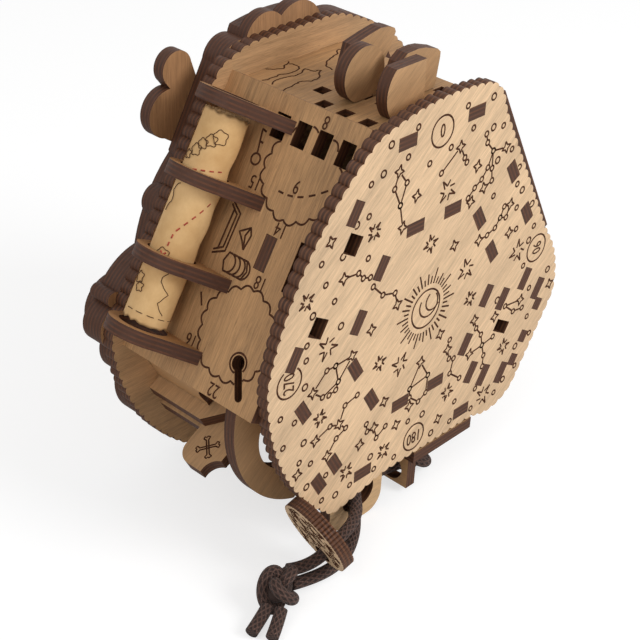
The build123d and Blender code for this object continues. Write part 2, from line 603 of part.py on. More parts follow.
# ---- upper right: the lid of the pocket ----
def build_lid():
    """Sliding lid over the pocket's window, its two rails and the lips that hold it down."""
    low, high = LID_SPAN
    rail_line = UPPER_RIGHT_LINE + PLY
    lip_line = rail_line + PLY
    lid = box_2d(low, high, BACK + LID_DEPTH[0], BACK + LID_DEPTH[1])
    lid -= Pos(high - 12, 0) * Circle(6.0)
    lid_plane = flank_plane(UPPER_RIGHT, rail_line)
    keep("pocket_lid", extrude(lid_plane * lid, amount=HALF - RUN, both=True))
    lip = PLY + 3.0
    ends = {
        "back": (INNER_BACK, INNER_BACK + PLY, INNER_BACK + lip),
        "front": (INNER_FRONT, INNER_FRONT - PLY, INNER_FRONT - lip),
    }
    for name, (start, rail_end, lip_end) in ends.items():
        rail = box_2d(low, high, min(start, rail_end), max(start, rail_end))
        keep(f"lid_rail_{name}", wall_solid(rail, UPPER_RIGHT, rail_line))
        cover = box_2d(low, high, min(start, lip_end), max(start, lip_end))
        keep(f"lid_lip_{name}", wall_solid(cover, UPPER_RIGHT, lip_line))


# ---- rib between the core and the map wall ----
def build_rib():
    """Rib parallel to the back plate, its tenons through the core and the map wall."""
    inner, outer = CORE_LINE + HALF, SCROLL_LINE - HALF
    rib = box_2d(inner, outer, -RIB_PLACE - 9, -RIB_PLACE + 9)
    rib += box_2d(inner - PLY, outer + PLY, -RIB_PLACE - RIB_TENON / 2, -RIB_PLACE + RIB_TENON / 2)
    keep("map_wall_rib", plate(Rot(0, 0, UPPER_LEFT) * rib, BACK + RIB_DEPTH))


# ---- coin and cord ----
COIN_CENTRE = (-50.2, -5.7, -54.7)
COIN_NORMAL = (-0.899, 0.132, -0.414)
COIN_HOLE_OFFSET = 8.2
COIN_HOLE_SPOT = (-46.6, -6.4, -62.6)
# route points: X, distance forward of the back face, height above the core's axis
STRAND_A = (
    (-58.0, -3.0, -63.6), (-51.5, -5.8, -64.8), (-39.5, -6.8, -59.8), (-29.5, -4.4, -59.0),
    (-21.5, 4.4, -58.6), (-14.0, 11.0, -59.4), (-3.5, 11.4, -61.0), (6.8, 9.0, -61.3),
)
STRAND_B = (
    (-58.8, -5.4, -67.2), (-49.0, -7.8, -68.6), (-37.5, -7.6, -68.2), (-28.5, -3.2, -65.4),
    (-21.0, 5.0, -62.6), (-13.5, 11.4, -63.6), (-3.0, 11.4, -65.0), (6.8, 9.0, -65.2),
)
TAIL_A = ((-71.0, -8.0, -66.2), (-75.2, -9.2, -67.8), (-80.0, -10.6, -68.6))
TAIL_B = ((-69.2, -11.6, -66.2), (-73.0, -13.9, -67.8), (-77.2, -16.0, -68.6))
KNOT = ((-64.6, -6.3, -64.4), (8.6, 6.6, 6.0), 28.0)
STOPPER = ((14.2, 9.0, -64.0), (9.3, 6.2, 5.7), 0.0)


def route(points):
    """Route points in the part's frame."""
    return [Vector(AXIS_X + x, BACK + y, AXIS_HEIGHT + z) for x, y, z in points]


def strand(name, points):
    """Tube of straight runs joined by tangent arcs."""
    places = route(points)
    radii = []
    for before, here, after in zip(places, places[1:], places[2:]):
        turn = (here - before).get_angle(after - here)
        run = min((here - before).length, (after - here).length)
        radii.append(0.45 * run / tan(radians(turn / 2)))
    path = FilletPolyline(*places, radius=radii)
    section = Plane(origin=path @ 0, z_dir=path % 0) * Circle(CORD / 2)
    solid = sweep(section, path=path)
    ideal = pi * CORD ** 2 / 4 * path.length
    words = ", ".join(f"{radius:.1f}" for radius in radii)
    print(f"{name}: length {path.length:.1f}, radii {words}, volume ratio {solid.volume / ideal:.4f}")
    keep(name, solid)


def knot(name, centre, radii, turn):
    """Closed outer shape of a knot, flattened where it lies."""
    ball = scale(Sphere(1.0), by=radii)
    keep(name, Pos(*route([centre])[0]) * Rot(0, 0, turn) * ball)


def build_coin():
    """Coin on the first strand, its rim milled."""
    centre = route([COIN_CENTRE])[0]
    spot = route([COIN_HOLE_SPOT])[0]
    normal = Vector(*COIN_NORMAL).normalized()
    toward = spot - centre
    toward = (toward - normal * toward.dot(normal)).normalized()
    plane = Plane(origin=centre, x_dir=toward, z_dir=normal)
    coin = Circle(COIN_RADIUS) - Pos(COIN_HOLE_OFFSET, 0) * Circle(COIN_HOLE)
    keep("coin", extrude(plane * coin, amount=-PLY))


def build_cord():
    """Both strands, their two tails and their knots."""
    strand("cord_strand_a", STRAND_A)
    strand("cord_strand_b", STRAND_B)
    strand("cord_tail_a", TAIL_A)
    strand("cord_tail_b", TAIL_B)
    knot("cord_knot", *KNOT)
    knot("stopper_knot", *STOPPER)


def main():
    """Build every piece and write one STEP file for each."""
    os.makedirs("parts", exist_ok=True)
    build_walls()
    build_back()
    build_ear()
    build_front()
    build_dial()
    build_scroll()
    build_grips()
    build_handle()
    build_tab()
    build_lid()
    build_rib()
    build_coin()
    build_cord()
    for name, solid in PIECES.items():
        export_step(solid, f"parts/{name}.step")
    print(len(PIECES), "nodes")


main()
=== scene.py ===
import json
import math

import bmesh
import bpy
from mathutils import Matrix, Vector, bvhtree, noise


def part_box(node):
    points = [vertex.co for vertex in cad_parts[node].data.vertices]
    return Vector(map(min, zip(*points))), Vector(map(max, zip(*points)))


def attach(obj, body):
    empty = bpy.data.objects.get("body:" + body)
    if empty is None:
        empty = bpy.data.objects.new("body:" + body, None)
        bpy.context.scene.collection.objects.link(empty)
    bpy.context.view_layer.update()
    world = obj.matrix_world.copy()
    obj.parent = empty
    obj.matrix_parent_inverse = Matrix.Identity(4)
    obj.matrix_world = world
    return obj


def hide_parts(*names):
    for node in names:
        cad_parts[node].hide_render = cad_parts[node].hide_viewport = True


bl_info = {
    "name": "Dial Puzzle Box",
    "version": (1, 0, 0),
    "blender": (4, 5, 0),
    "location": "View3D > Sidebar > Puzzle Box",
    "description": "Finishes a plywood puzzle box: engraving, map roll, coin and cord",
    "category": "Object",
}

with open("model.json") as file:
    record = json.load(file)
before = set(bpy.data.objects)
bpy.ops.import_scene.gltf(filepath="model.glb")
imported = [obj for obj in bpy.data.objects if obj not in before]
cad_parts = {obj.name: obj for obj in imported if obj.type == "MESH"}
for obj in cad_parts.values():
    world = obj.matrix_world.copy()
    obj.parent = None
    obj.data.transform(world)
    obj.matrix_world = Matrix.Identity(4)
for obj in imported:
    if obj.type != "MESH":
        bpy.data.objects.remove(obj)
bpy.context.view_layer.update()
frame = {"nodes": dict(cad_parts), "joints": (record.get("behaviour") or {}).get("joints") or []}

# ---- the box's own frame, in millimetres: X and Z from the core's axis, Y forwards from the back face ----
MM = 0.001
DIAL_JOINT = next(j for j in frame["joints"] if j["name"] == "dial_turn")
AXIS = Vector(DIAL_JOINT["pos_m"]) / MM
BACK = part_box("back_plate")[0][1] / MM
PLY = 4.0
TOP, UPPER_RIGHT, LOWER_LEFT, UPPER_LEFT = 90, 30, 210, 150
SCROLL_FACE = 53.6       # distance of each engraved face from the axis
TOP_FACE = 60.35
CORD_RADIUS = 1.9
LINE_WIDTH = 0.62        # engraved lines
LINE_DEPTH = 0.12


def place(x, y, z):
    """Point of the box's own frame, in metres."""
    return Vector((AXIS.x + x, BACK + y, AXIS.z + z)) * MM


def frame_matrix(origin, x_axis, y_axis, z_axis):
    """Matrix that takes millimetres in a local frame to metres in the row's frame."""
    matrix = Matrix.Identity(4)
    for column, axis in enumerate((x_axis, y_axis, z_axis)):
        for row in range(3):
            matrix[row][column] = axis[row] * MM
    matrix.translation = origin
    return matrix


def outward(angle):
    """Unit vector out of a flank."""
    return Vector((math.cos(math.radians(angle)), 0, math.sin(math.radians(angle))))


def along(angle):
    """Unit vector along a flank, clockwise as seen from the back."""
    out = outward(angle)
    return Vector((out.z, 0, -out.x))


def back_frame():
    """Frame of the back plate's outer face: x is X and y is Z."""
    return frame_matrix(place(0, 0, 0), Vector((1, 0, 0)), Vector((0, 0, 1)), Vector((0, -1, 0)))


def flank_frame(angle, distance):
    """Frame of a wall's outer face: x runs along the flank and y is the depth from the back."""
    out = outward(angle)
    origin = place(out.x * distance, 0, out.z * distance)
    return frame_matrix(origin, along(angle), Vector((0, 1, 0)), out)


def cross_frame(angle, at):
    """Frame across a flank at a place along it: x points outwards and y is the depth, backwards."""
    side = along(angle) * at
    return frame_matrix(place(side.x, 0, side.z), outward(angle), Vector((0, -1, 0)), along(angle))


# ---- settings ----
def colour_property(name, description, default):
    """Colour that a user may change."""
    return bpy.props.FloatVectorProperty(
        name=name, description=description, default=default, subtype="COLOR", size=3, min=0, max=1
    )


class BOX_PG_finish(bpy.types.PropertyGroup):
    """Colours of the box's wood, card and cord."""

    pale: colour_property("Pale ply", "Back plate and coin", (0.64, 0.445, 0.27))
    wall: colour_property("Wall ply", "Walls between the plates", (0.42, 0.235, 0.105))
    front: colour_property("Front ply", "Lobes and petals", (0.34, 0.175, 0.078))
    ear: colour_property("Ear ply", "Ear that the cord passes, and the foot", (0.56, 0.36, 0.185))
    hook: colour_property("Hook ply", "Hooks that hold the map", (0.36, 0.18, 0.07))
    moving: colour_property("Moving ply", "Grips, handle, tab, lid and dial", (0.45, 0.265, 0.13))
    burnt: colour_property("Burnt wood", "Cut edges and engraved lines", (0.040, 0.015, 0.007))
    card: colour_property("Map card", "Rolled map", (0.70, 0.46, 0.22))
    dash: colour_property("Dashes", "Dashed line on the map", (0.42, 0.06, 0.03))
    cord: colour_property("Cord", "Braided cord", (0.070, 0.038, 0.029))


class BOX_PG_stage(bpy.types.PropertyGroup):
    """Camera and lamps."""

    lens: bpy.props.FloatProperty(
        name="Lens", description="Focal length", default=85.54, min=10, unit="CAMERA"
    )
    key: bpy.props.FloatProperty(name="Key", description="Key lamp's power in watts", default=4.6, min=0)
    fill: bpy.props.FloatProperty(name="Fill", description="Fill lamp's power in watts", default=2.6, min=0)
    sky: bpy.props.FloatProperty(name="Sky", description="Strength of the surroundings", default=0.55, min=0)


# ---- shader node groups ----
def group_tree(name, inputs, outputs):
    """Empty node group with named sockets, given as name and kind, and its two ends."""
    tree = bpy.data.node_groups.new(name, "ShaderNodeTree")
    for socket, kind, default in inputs:
        made = tree.interface.new_socket(socket, in_out="INPUT", socket_type="NodeSocket" + kind)
        if default is not None:
            made.default_value = default
    for socket, kind in outputs:
        tree.interface.new_socket(socket, in_out="OUTPUT", socket_type="NodeSocket" + kind)
    return tree, tree.nodes.new("NodeGroupInput"), tree.nodes.new("NodeGroupOutput")


def add(tree, kind, values=None, **properties):
    """New node with its properties and unlinked values set."""
    node = tree.nodes.new(kind)
    for key, value in properties.items():
        setattr(node, key, value)
    for key, value in (values or {}).items():
        node.inputs[key].default_value = value
    return node


def stretched_noise(tree, vector, stretch, detail, roughness=0.5):
    """Noise texture on a stretched vector."""
    mapping = add(tree, "ShaderNodeMapping", {"Scale": stretch})
    texture = add(tree, "ShaderNodeTexNoise", {"Scale": 1.0, "Detail": detail, "Roughness": roughness})
    tree.links.new(vector, mapping.inputs["Vector"])
    tree.links.new(mapping.outputs[0], texture.inputs["Vector"])
    return texture.outputs["Fac"]


def math_node(tree, operation, first, second=None):
    """Math node of two values or sockets."""
    node = add(tree, "ShaderNodeMath", operation=operation)
    for index, value in enumerate((first, second)):
        if value is None:
            continue
        if isinstance(value, (int, float)):
            node.inputs[index].default_value = value
        else:
            tree.links.new(value, node.inputs[index])
    return node.outputs[0]


def map_range(tree, value, low, high, to_low=0.0, to_high=1.0):
    """Clamped change of range."""
    node = add(tree, "ShaderNodeMapRange", {1: low, 2: high, 3: to_low, 4: to_high})
    tree.links.new(value, node.inputs[0])
    return node.outputs[0]


def mix_colour(tree, factor, first, second, blend="MIX"):
    """Mix of two colours, each a value or a socket."""
    node = add(tree, "ShaderNodeMix", data_type="RGBA", blend_type=blend)
    for key, value in ((0, factor), (6, first), (7, second)):
        if isinstance(value, bpy.types.NodeSocket):
            tree.links.new(value, node.inputs[key])
        else:
            node.inputs[key].default_value = value
    return node.outputs[2]


def make_grain_group():
    """Wood grain that runs along the vector's x: colour, roughness and height."""
    tree, start, end = group_tree(
        "ply_grain",
        [("Vector", "Vector", None), ("Colour", "Color", (0.6, 0.4, 0.2, 1)), ("Contrast", "Float", 1.0)],
        [("Colour", "Color"), ("Roughness", "Float"), ("Height", "Float")],
    )
    vector = start.outputs["Vector"]
    board = stretched_noise(tree, vector, (14, 90, 90), 3)
    streaks = stretched_noise(tree, vector, (45, 900, 900), 4, 0.6)
    fibres = stretched_noise(tree, vector, (220, 4200, 4200), 3, 0.6)
    flecks = stretched_noise(tree, vector, (380, 1900, 1900), 2, 0.5)
    tone = math_node(tree, "ADD", map_range(tree, board, 0.3, 0.7, -0.10, 0.10), 1.0)
    tone = math_node(tree, "ADD", tone, map_range(tree, streaks, 0.3, 0.7, -0.13, 0.10))
    tone = math_node(tree, "ADD", tone, map_range(tree, fibres, 0.3, 0.7, -0.17, 0.13))
    tone = math_node(tree, "SUBTRACT", tone, map_range(tree, flecks, 0.66, 0.74, 0.0, 0.16))
    tone = math_node(tree, "SUBTRACT", tone, 1.0)
    tone = math_node(tree, "MULTIPLY", tone, start.outputs["Contrast"])
    tone = math_node(tree, "ADD", tone, 1.0)
    grey = add(tree, "ShaderNodeCombineColor")
    for socket in grey.inputs:
        tree.links.new(tone, socket)
    colour = mix_colour(tree, 1.0, start.outputs["Colour"], grey.outputs[0], "MULTIPLY")
    tree.links.new(colour, end.inputs["Colour"])
    tree.links.new(map_range(tree, streaks, 0.3, 0.7, 0.52, 0.68), end.inputs["Roughness"])
    tree.links.new(fibres, end.inputs["Height"])
    return tree


def make_edge_group():
    """Mask of a plate's cut edges, with the ply's layers and soot as a shade."""
    tree, start, end = group_tree(
        "cut_edge",
        [("Vector", "Vector", None), ("Normal", "Vector", None), ("Facing", "Vector", (0, 1, 0))],
        [("Mask", "Float"), ("Layers", "Float"), ("Soot", "Float")],
    )
    side = add(tree, "ShaderNodeVectorMath", operation="DOT_PRODUCT")
    tree.links.new(start.outputs["Normal"], side.inputs[0])
    tree.links.new(start.outputs["Facing"], side.inputs[1])
    level = math_node(tree, "ABSOLUTE", side.outputs["Value"])
    tree.links.new(map_range(tree, level, 0.75, 0.6), end.inputs["Mask"])
    depth = add(tree, "ShaderNodeVectorMath", operation="DOT_PRODUCT")
    tree.links.new(start.outputs["Vector"], depth.inputs[0])
    tree.links.new(start.outputs["Facing"], depth.inputs[1])
    wave = math_node(tree, "SINE", math_node(tree, "MULTIPLY", depth.outputs["Value"], 2 * math.pi / 0.00133))
    tree.links.new(map_range(tree, wave, -0.2, 0.8), end.inputs["Layers"])
    soot = stretched_noise(tree, start.outputs["Vector"], (260, 260, 260), 4, 0.6)
    tree.links.new(map_range(tree, soot, 0.3, 0.7), end.inputs["Soot"])
    return tree


def new_material(name):
    """Material with a Principled shader, its tree and its coordinates."""
    material = bpy.data.materials.new(name)
    material.use_nodes = True
    tree = material.node_tree
    shader = tree.nodes["Principled BSDF"]
    return material, tree, shader, add(tree, "ShaderNodeTexCoord")


def bump(tree, shader, height, distance, strength=1.0):
    """Bump from a height socket into the shader's normal."""
    node = add(tree, "ShaderNodeBump", {"Strength": strength, "Distance": distance})
    tree.links.new(height, node.inputs["Height"])
    tree.links.new(node.outputs[0], shader.inputs["Normal"])


def ply_material(name, colour, facing, grain_axis, contrast=1.0):
    """Plywood whose faces are grained and whose cut edges are burnt and layered."""
    settings = bpy.context.scene.box_finish
    material, tree, shader, coordinates = new_material(name)
    grain_side = facing.cross(grain_axis)
    turned = add(tree, "ShaderNodeCombineXYZ")
    for axis, socket in zip((grain_axis, grain_side, facing), turned.inputs):
        dot = add(tree, "ShaderNodeVectorMath", {1: axis}, operation="DOT_PRODUCT")
        tree.links.new(coordinates.outputs["Object"], dot.inputs[0])
        tree.links.new(dot.outputs["Value"], socket)
    grain = add(tree, "ShaderNodeGroup", node_tree=bpy.data.node_groups["ply_grain"])
    grain.inputs["Colour"].default_value = (*colour, 1)
    grain.inputs["Contrast"].default_value = contrast
    tree.links.new(turned.outputs[0], grain.inputs["Vector"])
    edge = add(tree, "ShaderNodeGroup", node_tree=bpy.data.node_groups["cut_edge"])
    edge.inputs["Facing"].default_value = facing
    tree.links.new(coordinates.outputs["Object"], edge.inputs["Vector"])
    tree.links.new(coordinates.outputs["Normal"], edge.inputs["Normal"])
    burnt = (*settings.burnt, 1)
    channels = zip(settings.burnt, colour, (1.5, 0.8, 0.5))
    scorched = tuple(0.9 * b + 0.05 * c * w for b, c, w in channels) + (1,)
    layer = tuple(1.1 * b + 0.13 * c * w for b, c, w in zip(settings.burnt, colour, (1.35, 0.8, 0.55))) + (1,)
    rim = mix_colour(tree, edge.outputs["Layers"], burnt, layer)
    rim = mix_colour(tree, edge.outputs["Soot"], scorched, rim)
    mixed = mix_colour(tree, edge.outputs["Mask"], grain.outputs["Colour"], rim)
    tree.links.new(mixed, shader.inputs["Base Color"])
    tree.links.new(grain.outputs["Roughness"], shader.inputs["Roughness"])
    shader.inputs["Specular IOR Level"].default_value = 0.35
    bump(tree, shader, grain.outputs["Height"], 0.00005, 0.5)
    return material


def burnt_material():
    """Soot-dark wood at the bottom of engraved lines."""
    settings = bpy.context.scene.box_finish
    material, tree, shader, coordinates = new_material("engraved_burn")
    patches = stretched_noise(tree, coordinates.outputs["Object"], (900, 900, 900), 3)
    dark = (*settings.burnt, 1)
    lighter = tuple(2.1 * c for c in settings.burnt) + (1,)
    colour = mix_colour(tree, map_range(tree, patches, 0.35, 0.65), dark, lighter)
    tree.links.new(colour, shader.inputs["Base Color"])
    shader.inputs["Roughness"].default_value = 0.85
    shader.inputs["Specular IOR Level"].default_value = 0.15
    bump(tree, shader, patches, 0.0001, 0.5)
    return material


def card_material():
    """Aged card of the rolled map, darker at its scorched ends."""
    settings = bpy.context.scene.box_finish
    material, tree, shader, coordinates = new_material("aged_card")
    blotches = stretched_noise(tree, coordinates.outputs["Object"], (55, 55, 55), 5, 0.6)
    fibres = stretched_noise(tree, coordinates.outputs["Object"], (900, 2200, 900), 3, 0.6)
    ends = add(tree, "ShaderNodeAttribute", attribute_name="scorch")
    light = (*settings.card, 1)
    stained = tuple(c * f for c, f in zip(settings.card, (0.72, 0.62, 0.50))) + (1,)
    colour = mix_colour(tree, map_range(tree, blotches, 0.38, 0.68), light, stained)
    shade = map_range(tree, fibres, 0.3, 0.7, 0.0, 0.16)
    colour = mix_colour(tree, shade, colour, stained)
    burn = math_node(tree, "ADD", ends.outputs["Fac"], map_range(tree, blotches, 0.3, 0.7, -0.22, 0.22))
    colour = mix_colour(tree, map_range(tree, burn, 0.25, 0.95), colour, (*settings.burnt, 1))
    tree.links.new(colour, shader.inputs["Base Color"])
    shader.inputs["Roughness"].default_value = 0.72
    shader.inputs["Specular IOR Level"].default_value = 0.25
    bump(tree, shader, fibres, 0.00006, 0.6)
    return material


def dash_material():
    """Red ink of the dashed line."""
    settings = bpy.context.scene.box_finish
    material, tree, shader, coordinates = new_material("map_ink")
    wear = stretched_noise(tree, coordinates.outputs["Object"], (1200, 1200, 1200), 3)
    dark = tuple(0.55 * c for c in settings.dash) + (1,)
    colour = mix_colour(tree, map_range(tree, wear, 0.4, 0.65), (*settings.dash, 1), dark)
    tree.links.new(colour, shader.inputs["Base Color"])
    shader.inputs["Roughness"].default_value = 0.7
    return material


BRAID_TURN = 0.0026      # length along the cord of one crossing of the braid
BRAID_STRANDS = 16


def cord_material():
    """Braid of crossing strands, read from the cord's own length and turn, with painted shade in the grooves
    between them.
    """
    settings = bpy.context.scene.box_finish
    material, tree, shader, coordinates = new_material("braided_cord")
    run = add(tree, "ShaderNodeAttribute", attribute_name="run")
    turn = add(tree, "ShaderNodeAttribute", attribute_name="turn")
    length = math_node(tree, "MULTIPLY", run.outputs["Fac"], 2 * math.pi / BRAID_TURN)
    around = math_node(tree, "MULTIPLY", turn.outputs["Fac"], 2 * math.pi * BRAID_STRANDS / 2)
    first = math_node(tree, "SINE", math_node(tree, "ADD", length, around))
    second = math_node(tree, "SINE", math_node(tree, "SUBTRACT", length, around))
    height = math_node(tree, "MAXIMUM", first, second)
    fuzz = stretched_noise(tree, coordinates.outputs["Object"], (2600, 2600, 2600), 3)
    light = tuple(min(1, 2.3 * c) for c in settings.cord) + (1,)
    # painted shade: the grooves between the strands are darkened to 0.35 of the cord's colour, rising to the full
    # colour on their crowns
    dark = tuple(0.35 * c for c in settings.cord) + (1,)
    colour = mix_colour(tree, map_range(tree, height, -0.2, 0.9), dark, (*settings.cord, 1))
    worn = math_node(tree, "MULTIPLY", map_range(tree, fuzz, 0.48, 0.68), map_range(tree, height, 0.3, 1.0))
    colour = mix_colour(tree, worn, colour, light)
    tree.links.new(colour, shader.inputs["Base Color"])
    shader.inputs["Roughness"].default_value = 0.8
    shader.inputs["Sheen Weight"].default_value = 0.05
    shader.inputs["Specular IOR Level"].default_value = 0.3
    relief = math_node(tree, "ADD", height, math_node(tree, "MULTIPLY", fuzz, 0.8))
    bump(tree, shader, relief, 0.00022, 0.9)
    return material


# ---- modelling helpers ----
def finish_piece(name, bm, material, body="case", smooth=True):
    """Object of a bmesh, with its material, riding on a body."""
    mesh = bpy.data.meshes.new(name)
    bm.to_mesh(mesh)
    bm.free()
    return finish_mesh(name, mesh, material, body, smooth)


def finish_mesh(name, mesh, material, body="case", smooth=True):
    """Object of a mesh, with its material, riding on a body."""
    mesh.materials.clear()
    mesh.materials.append(material)
    mesh.polygons.foreach_set("use_smooth", [smooth] * len(mesh.polygons))
    piece = bpy.data.objects.new(name, mesh)
    bpy.context.scene.collection.objects.link(piece)
    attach(piece, body)
    return piece


def surface_grid(columns, rows, position, run_length=0.0, close=False, scorch=None):
    """Grid of faces placed by position(u, v), with its run and turn kept on the corners."""
    bm = bmesh.new()
    run = bm.loops.layers.float.new("run")
    turn = bm.loops.layers.float.new("turn")
    burn = bm.verts.layers.float.new("scorch")
    bmesh.ops.create_grid(bm, x_segments=columns, y_segments=rows, size=0.5)
    places = {vert: (vert.co.x + 0.5, vert.co.y + 0.5) for vert in bm.verts}
    for face in bm.faces:
        for loop in face.loops:
            u, v = places[loop.vert]
            loop[run], loop[turn] = u * run_length, v
    for vert, (u, v) in places.items():
        vert.co = position(u, v)
        if scorch:
            vert[burn] = scorch(u, v)
    if close:
        bmesh.ops.remove_doubles(bm, verts=bm.verts, dist=1e-7)
        bmesh.ops.holes_fill(bm, edges=bm.edges, sides=0)
        bmesh.ops.recalc_face_normals(bm, faces=bm.faces)
    return bm


def tube(path, radius, around=20):
    """Tube along a path of points in metres, ends closed."""
    lengths = [0.0]
    for before, after in zip(path, path[1:]):
        lengths.append(lengths[-1] + (after - before).length)
    tangents = []
    for index in range(len(path)):
        ahead, behind = path[min(index + 1, len(path) - 1)], path[max(index - 1, 0)]
        tangents.append((ahead - behind).normalized())
    side = tangents[0].orthogonal().normalized()
    sides = []
    for tangent in tangents:
        side = (side - tangent * side.dot(tangent)).normalized()
        sides.append(side.copy())
    last = len(path) - 1

    def position(u, v):
        index = round(u * last)
        turn = 2 * math.pi * v
        other = tangents[index].cross(sides[index])
        return path[index] + (sides[index] * math.cos(turn) + other * math.sin(turn)) * radius

    return surface_grid(last, around, position, lengths[-1], close=True)


def spline_path(name, points):
    """Points along the smooth NURBS line of a route, in metres."""
    curve = bpy.data.curves.new(name, "CURVE")
    curve.dimensions = "3D"
    spline = curve.splines.new("NURBS")
    spline.points.add(len(points) - 1)
    for point, spot in zip(spline.points, points):
        point.co = (*spot, 1)
    spline.order_u = 3
    spline.use_endpoint_u = True
    spline.resolution_u = 16
    holder = bpy.data.objects.new(name, curve)
    bpy.context.scene.collection.objects.link(holder)
    mesh = bpy.data.meshes.new_from_object(holder)
    path = [vert.co.copy() for vert in mesh.vertices]
    bpy.data.objects.remove(holder)
    bpy.data.curves.remove(curve)
    bpy.data.meshes.remove(mesh)
    return path


# ---- engraving ----
SAMPLE_STEP = 0.7


def sampled(stroke):
    """Points along a stroke at an even step."""
    points = []
    for before, after in zip(stroke, stroke[1:]):
        gap = math.dist(before, after)
        steps = max(1, math.ceil(gap / SAMPLE_STEP))
        for index in range(steps):
            share = index / steps
            points.append([b + (a - b) * share for b, a in zip(before, after)])
    points.append(list(stroke[-1]))
    return points


def surface_tree(node):
    """Search tree of a CAD node's surface."""
    bm = bmesh.new()
    bm.from_mesh(frame["nodes"][node].data)
    tree = bvhtree.BVHTree.FromBMesh(bm)
    bm.free()
    return tree


def engrave(name, matrix, strokes, node, body="case", width=LINE_WIDTH):
    """Engraved lines on a flat face, broken where the face has an opening."""
    tree = surface_tree(node)
    down = -(matrix.to_3x3() @ Vector((0, 0, 1))).normalized()
    curve = bpy.data.curves.new(name, "CURVE")
    curve.dimensions = "3D"
    curve.bevel_depth = width / 2
    curve.bevel_resolution = 1
    curve.use_fill_caps = True
    for stroke in strokes:
        runs = [[]]
        for point in sampled(stroke):
            spot = matrix @ Vector((point[0], point[1], 0))
            hit = tree.ray_cast(spot - down * 0.0005, down, 0.001)
            if hit[0] is None:
                runs.append([])
            else:
                runs[-1].append(point)
        for run in runs:
            if len(run) < 2:
                continue
            spline = curve.splines.new("POLY")
            spline.points.add(len(run) - 1)
            for place_on, point in zip(spline.points, run):
                place_on.co = (point[0], point[1], 0, 1)
    holder = bpy.data.objects.new(name, curve)
    bpy.context.scene.collection.objects.link(holder)
    mesh = bpy.data.meshes.new_from_object(holder)
    bpy.data.objects.remove(holder)
    bpy.data.curves.remove(curve)
    mesh.transform(matrix @ Matrix.Diagonal((1, 1, 2 * LINE_DEPTH / width, 1)))
    return finish_mesh(name, mesh, bpy.data.materials["engraved_burn"], body, True)


def circle(x, y, radius, start=0.0, end=360.0, steps=28):
    """Stroke along a circle or an arc."""
    points = []
    for index in range(steps + 1):
        turn = math.radians(start + (end - start) * index / steps)
        points.append((x + radius * math.cos(turn), y + radius * math.sin(turn)))
    return points


def star(x, y, radius, tips, waist, turn=0.0):
    """Outline of a star."""
    points = []
    for index in range(2 * tips + 1):
        reach = radius if index % 2 == 0 else radius * waist
        angle = turn + math.pi * index / tips
        points.append((x + reach * math.sin(angle), y + reach * math.cos(angle)))
    return points


def burst(x, y, radius, rays, turn=0.0):
    """Open burst: short bent rays around an empty middle."""
    strokes = []
    for index in range(rays):
        angle = turn + 2 * math.pi * index / rays
        step = math.pi / rays
        reach = radius * (1.0 if index % 2 else 0.78)
        tip = (x + reach * math.sin(angle), y + reach * math.cos(angle))
        left = (x + 0.36 * radius * math.sin(angle - step), y + 0.36 * radius * math.cos(angle - step))
        right = (x + 0.36 * radius * math.sin(angle + step), y + 0.36 * radius * math.cos(angle + step))
        strokes.append([left, tip])
        if index % 2:
            strokes.append([tip, right])
    return strokes


NARROW = 0.74            # width of the engraved numbers against the plain font


def number_mesh(name, matrix, words, size, body="case"):
    """Engraved numbers, each given as text, x, y and turn in degrees."""
    bm = bmesh.new()
    for text, x, y, turn in words:
        font = bpy.data.curves.new(name, "FONT")
        font.body = text
        font.size = size
        font.align_x = "CENTER"
        font.align_y = "CENTER"
        font.extrude = LINE_DEPTH
        font.resolution_u = 3
        holder = bpy.data.objects.new(name, font)
        bpy.context.scene.collection.objects.link(holder)
        mesh = bpy.data.meshes.new_from_object(holder)
        upright = Matrix.Rotation(math.radians(turn), 4, "Z") @ Matrix.Diagonal((NARROW, 1, 1, 1))
        mesh.transform(matrix @ Matrix.Translation((x, y, 0)) @ upright)
        bm.from_mesh(mesh)
        bpy.data.objects.remove(holder)
        bpy.data.curves.remove(font)
        bpy.data.meshes.remove(mesh)
    return finish_piece(name, bm, bpy.data.materials["engraved_burn"], body, False)


# ---- chart on the back plate, in millimetres from its middle ----
MEDALLIONS = (("0", 0.0, 57.0, 0), ("90", 54.3, 0.0, -90), ("180", 0.0, -46.6, 180), ("270", -57.3, 0.0, 90))
MEDALLION_RADIUS = 4.7
SUN_RADIUS = 6.3
BURSTS = (
    (-26.1, 35.1, 3.2), (-51.9, 23.4, 3.2), (-0.6, 21.9, 3.3), (-42.6, 5.1, 4.3), (4.8, 37.2, 4.2),
    (18.0, 6.3, 4.2), (44.1, 2.7, 4.3), (-19.5, -10.5, 3.0), (-9.9, -15.3, 4.1), (-44.1, -18.0, 3.0),
    (-31.2, -43.8, 3.2), (-14.4, -44.7, 3.2), (21.6, -5.4, 3.0), (42.9, -32.1, 3.2), (15.0, -36.9, 3.2),
    (34.8, -47.4, 4.2),
)
SPARKS = (
    (-43.5, 38.4), (-37.5, 24.9), (-9.0, 40.2), (-13.5, 6.9), (-24.3, 3.0), (-14.1, 32.1), (-31.8, -2.4),
    (-47.7, -7.8), (-45.6, -25.2), (-35.7, -24.3), (-40.2, -33.3), (-52.5, -33.6), (-15.9, -25.8),
    (-19.8, -33.3), (-25.8, -36.6), (-9.3, -37.5), (-3.6, -33.3), (0.0, -18.9), (8.4, -12.6),
    (25.2, -14.7), (24.6, -27.0), (11.7, -45.6), (36.0, -18.0), (49.2, -17.1), (65.0, -17.4),
    (12.9, -20.1), (18.0, 40.5), (31.2, 42.3), (9.0, 49.5), (16.5, 29.4), (22.2, 32.1), (22.8, 14.4),
    (36.9, 21.6), (10.8, 17.1), (38.1, 11.4), (-17.4, 50.4),
)
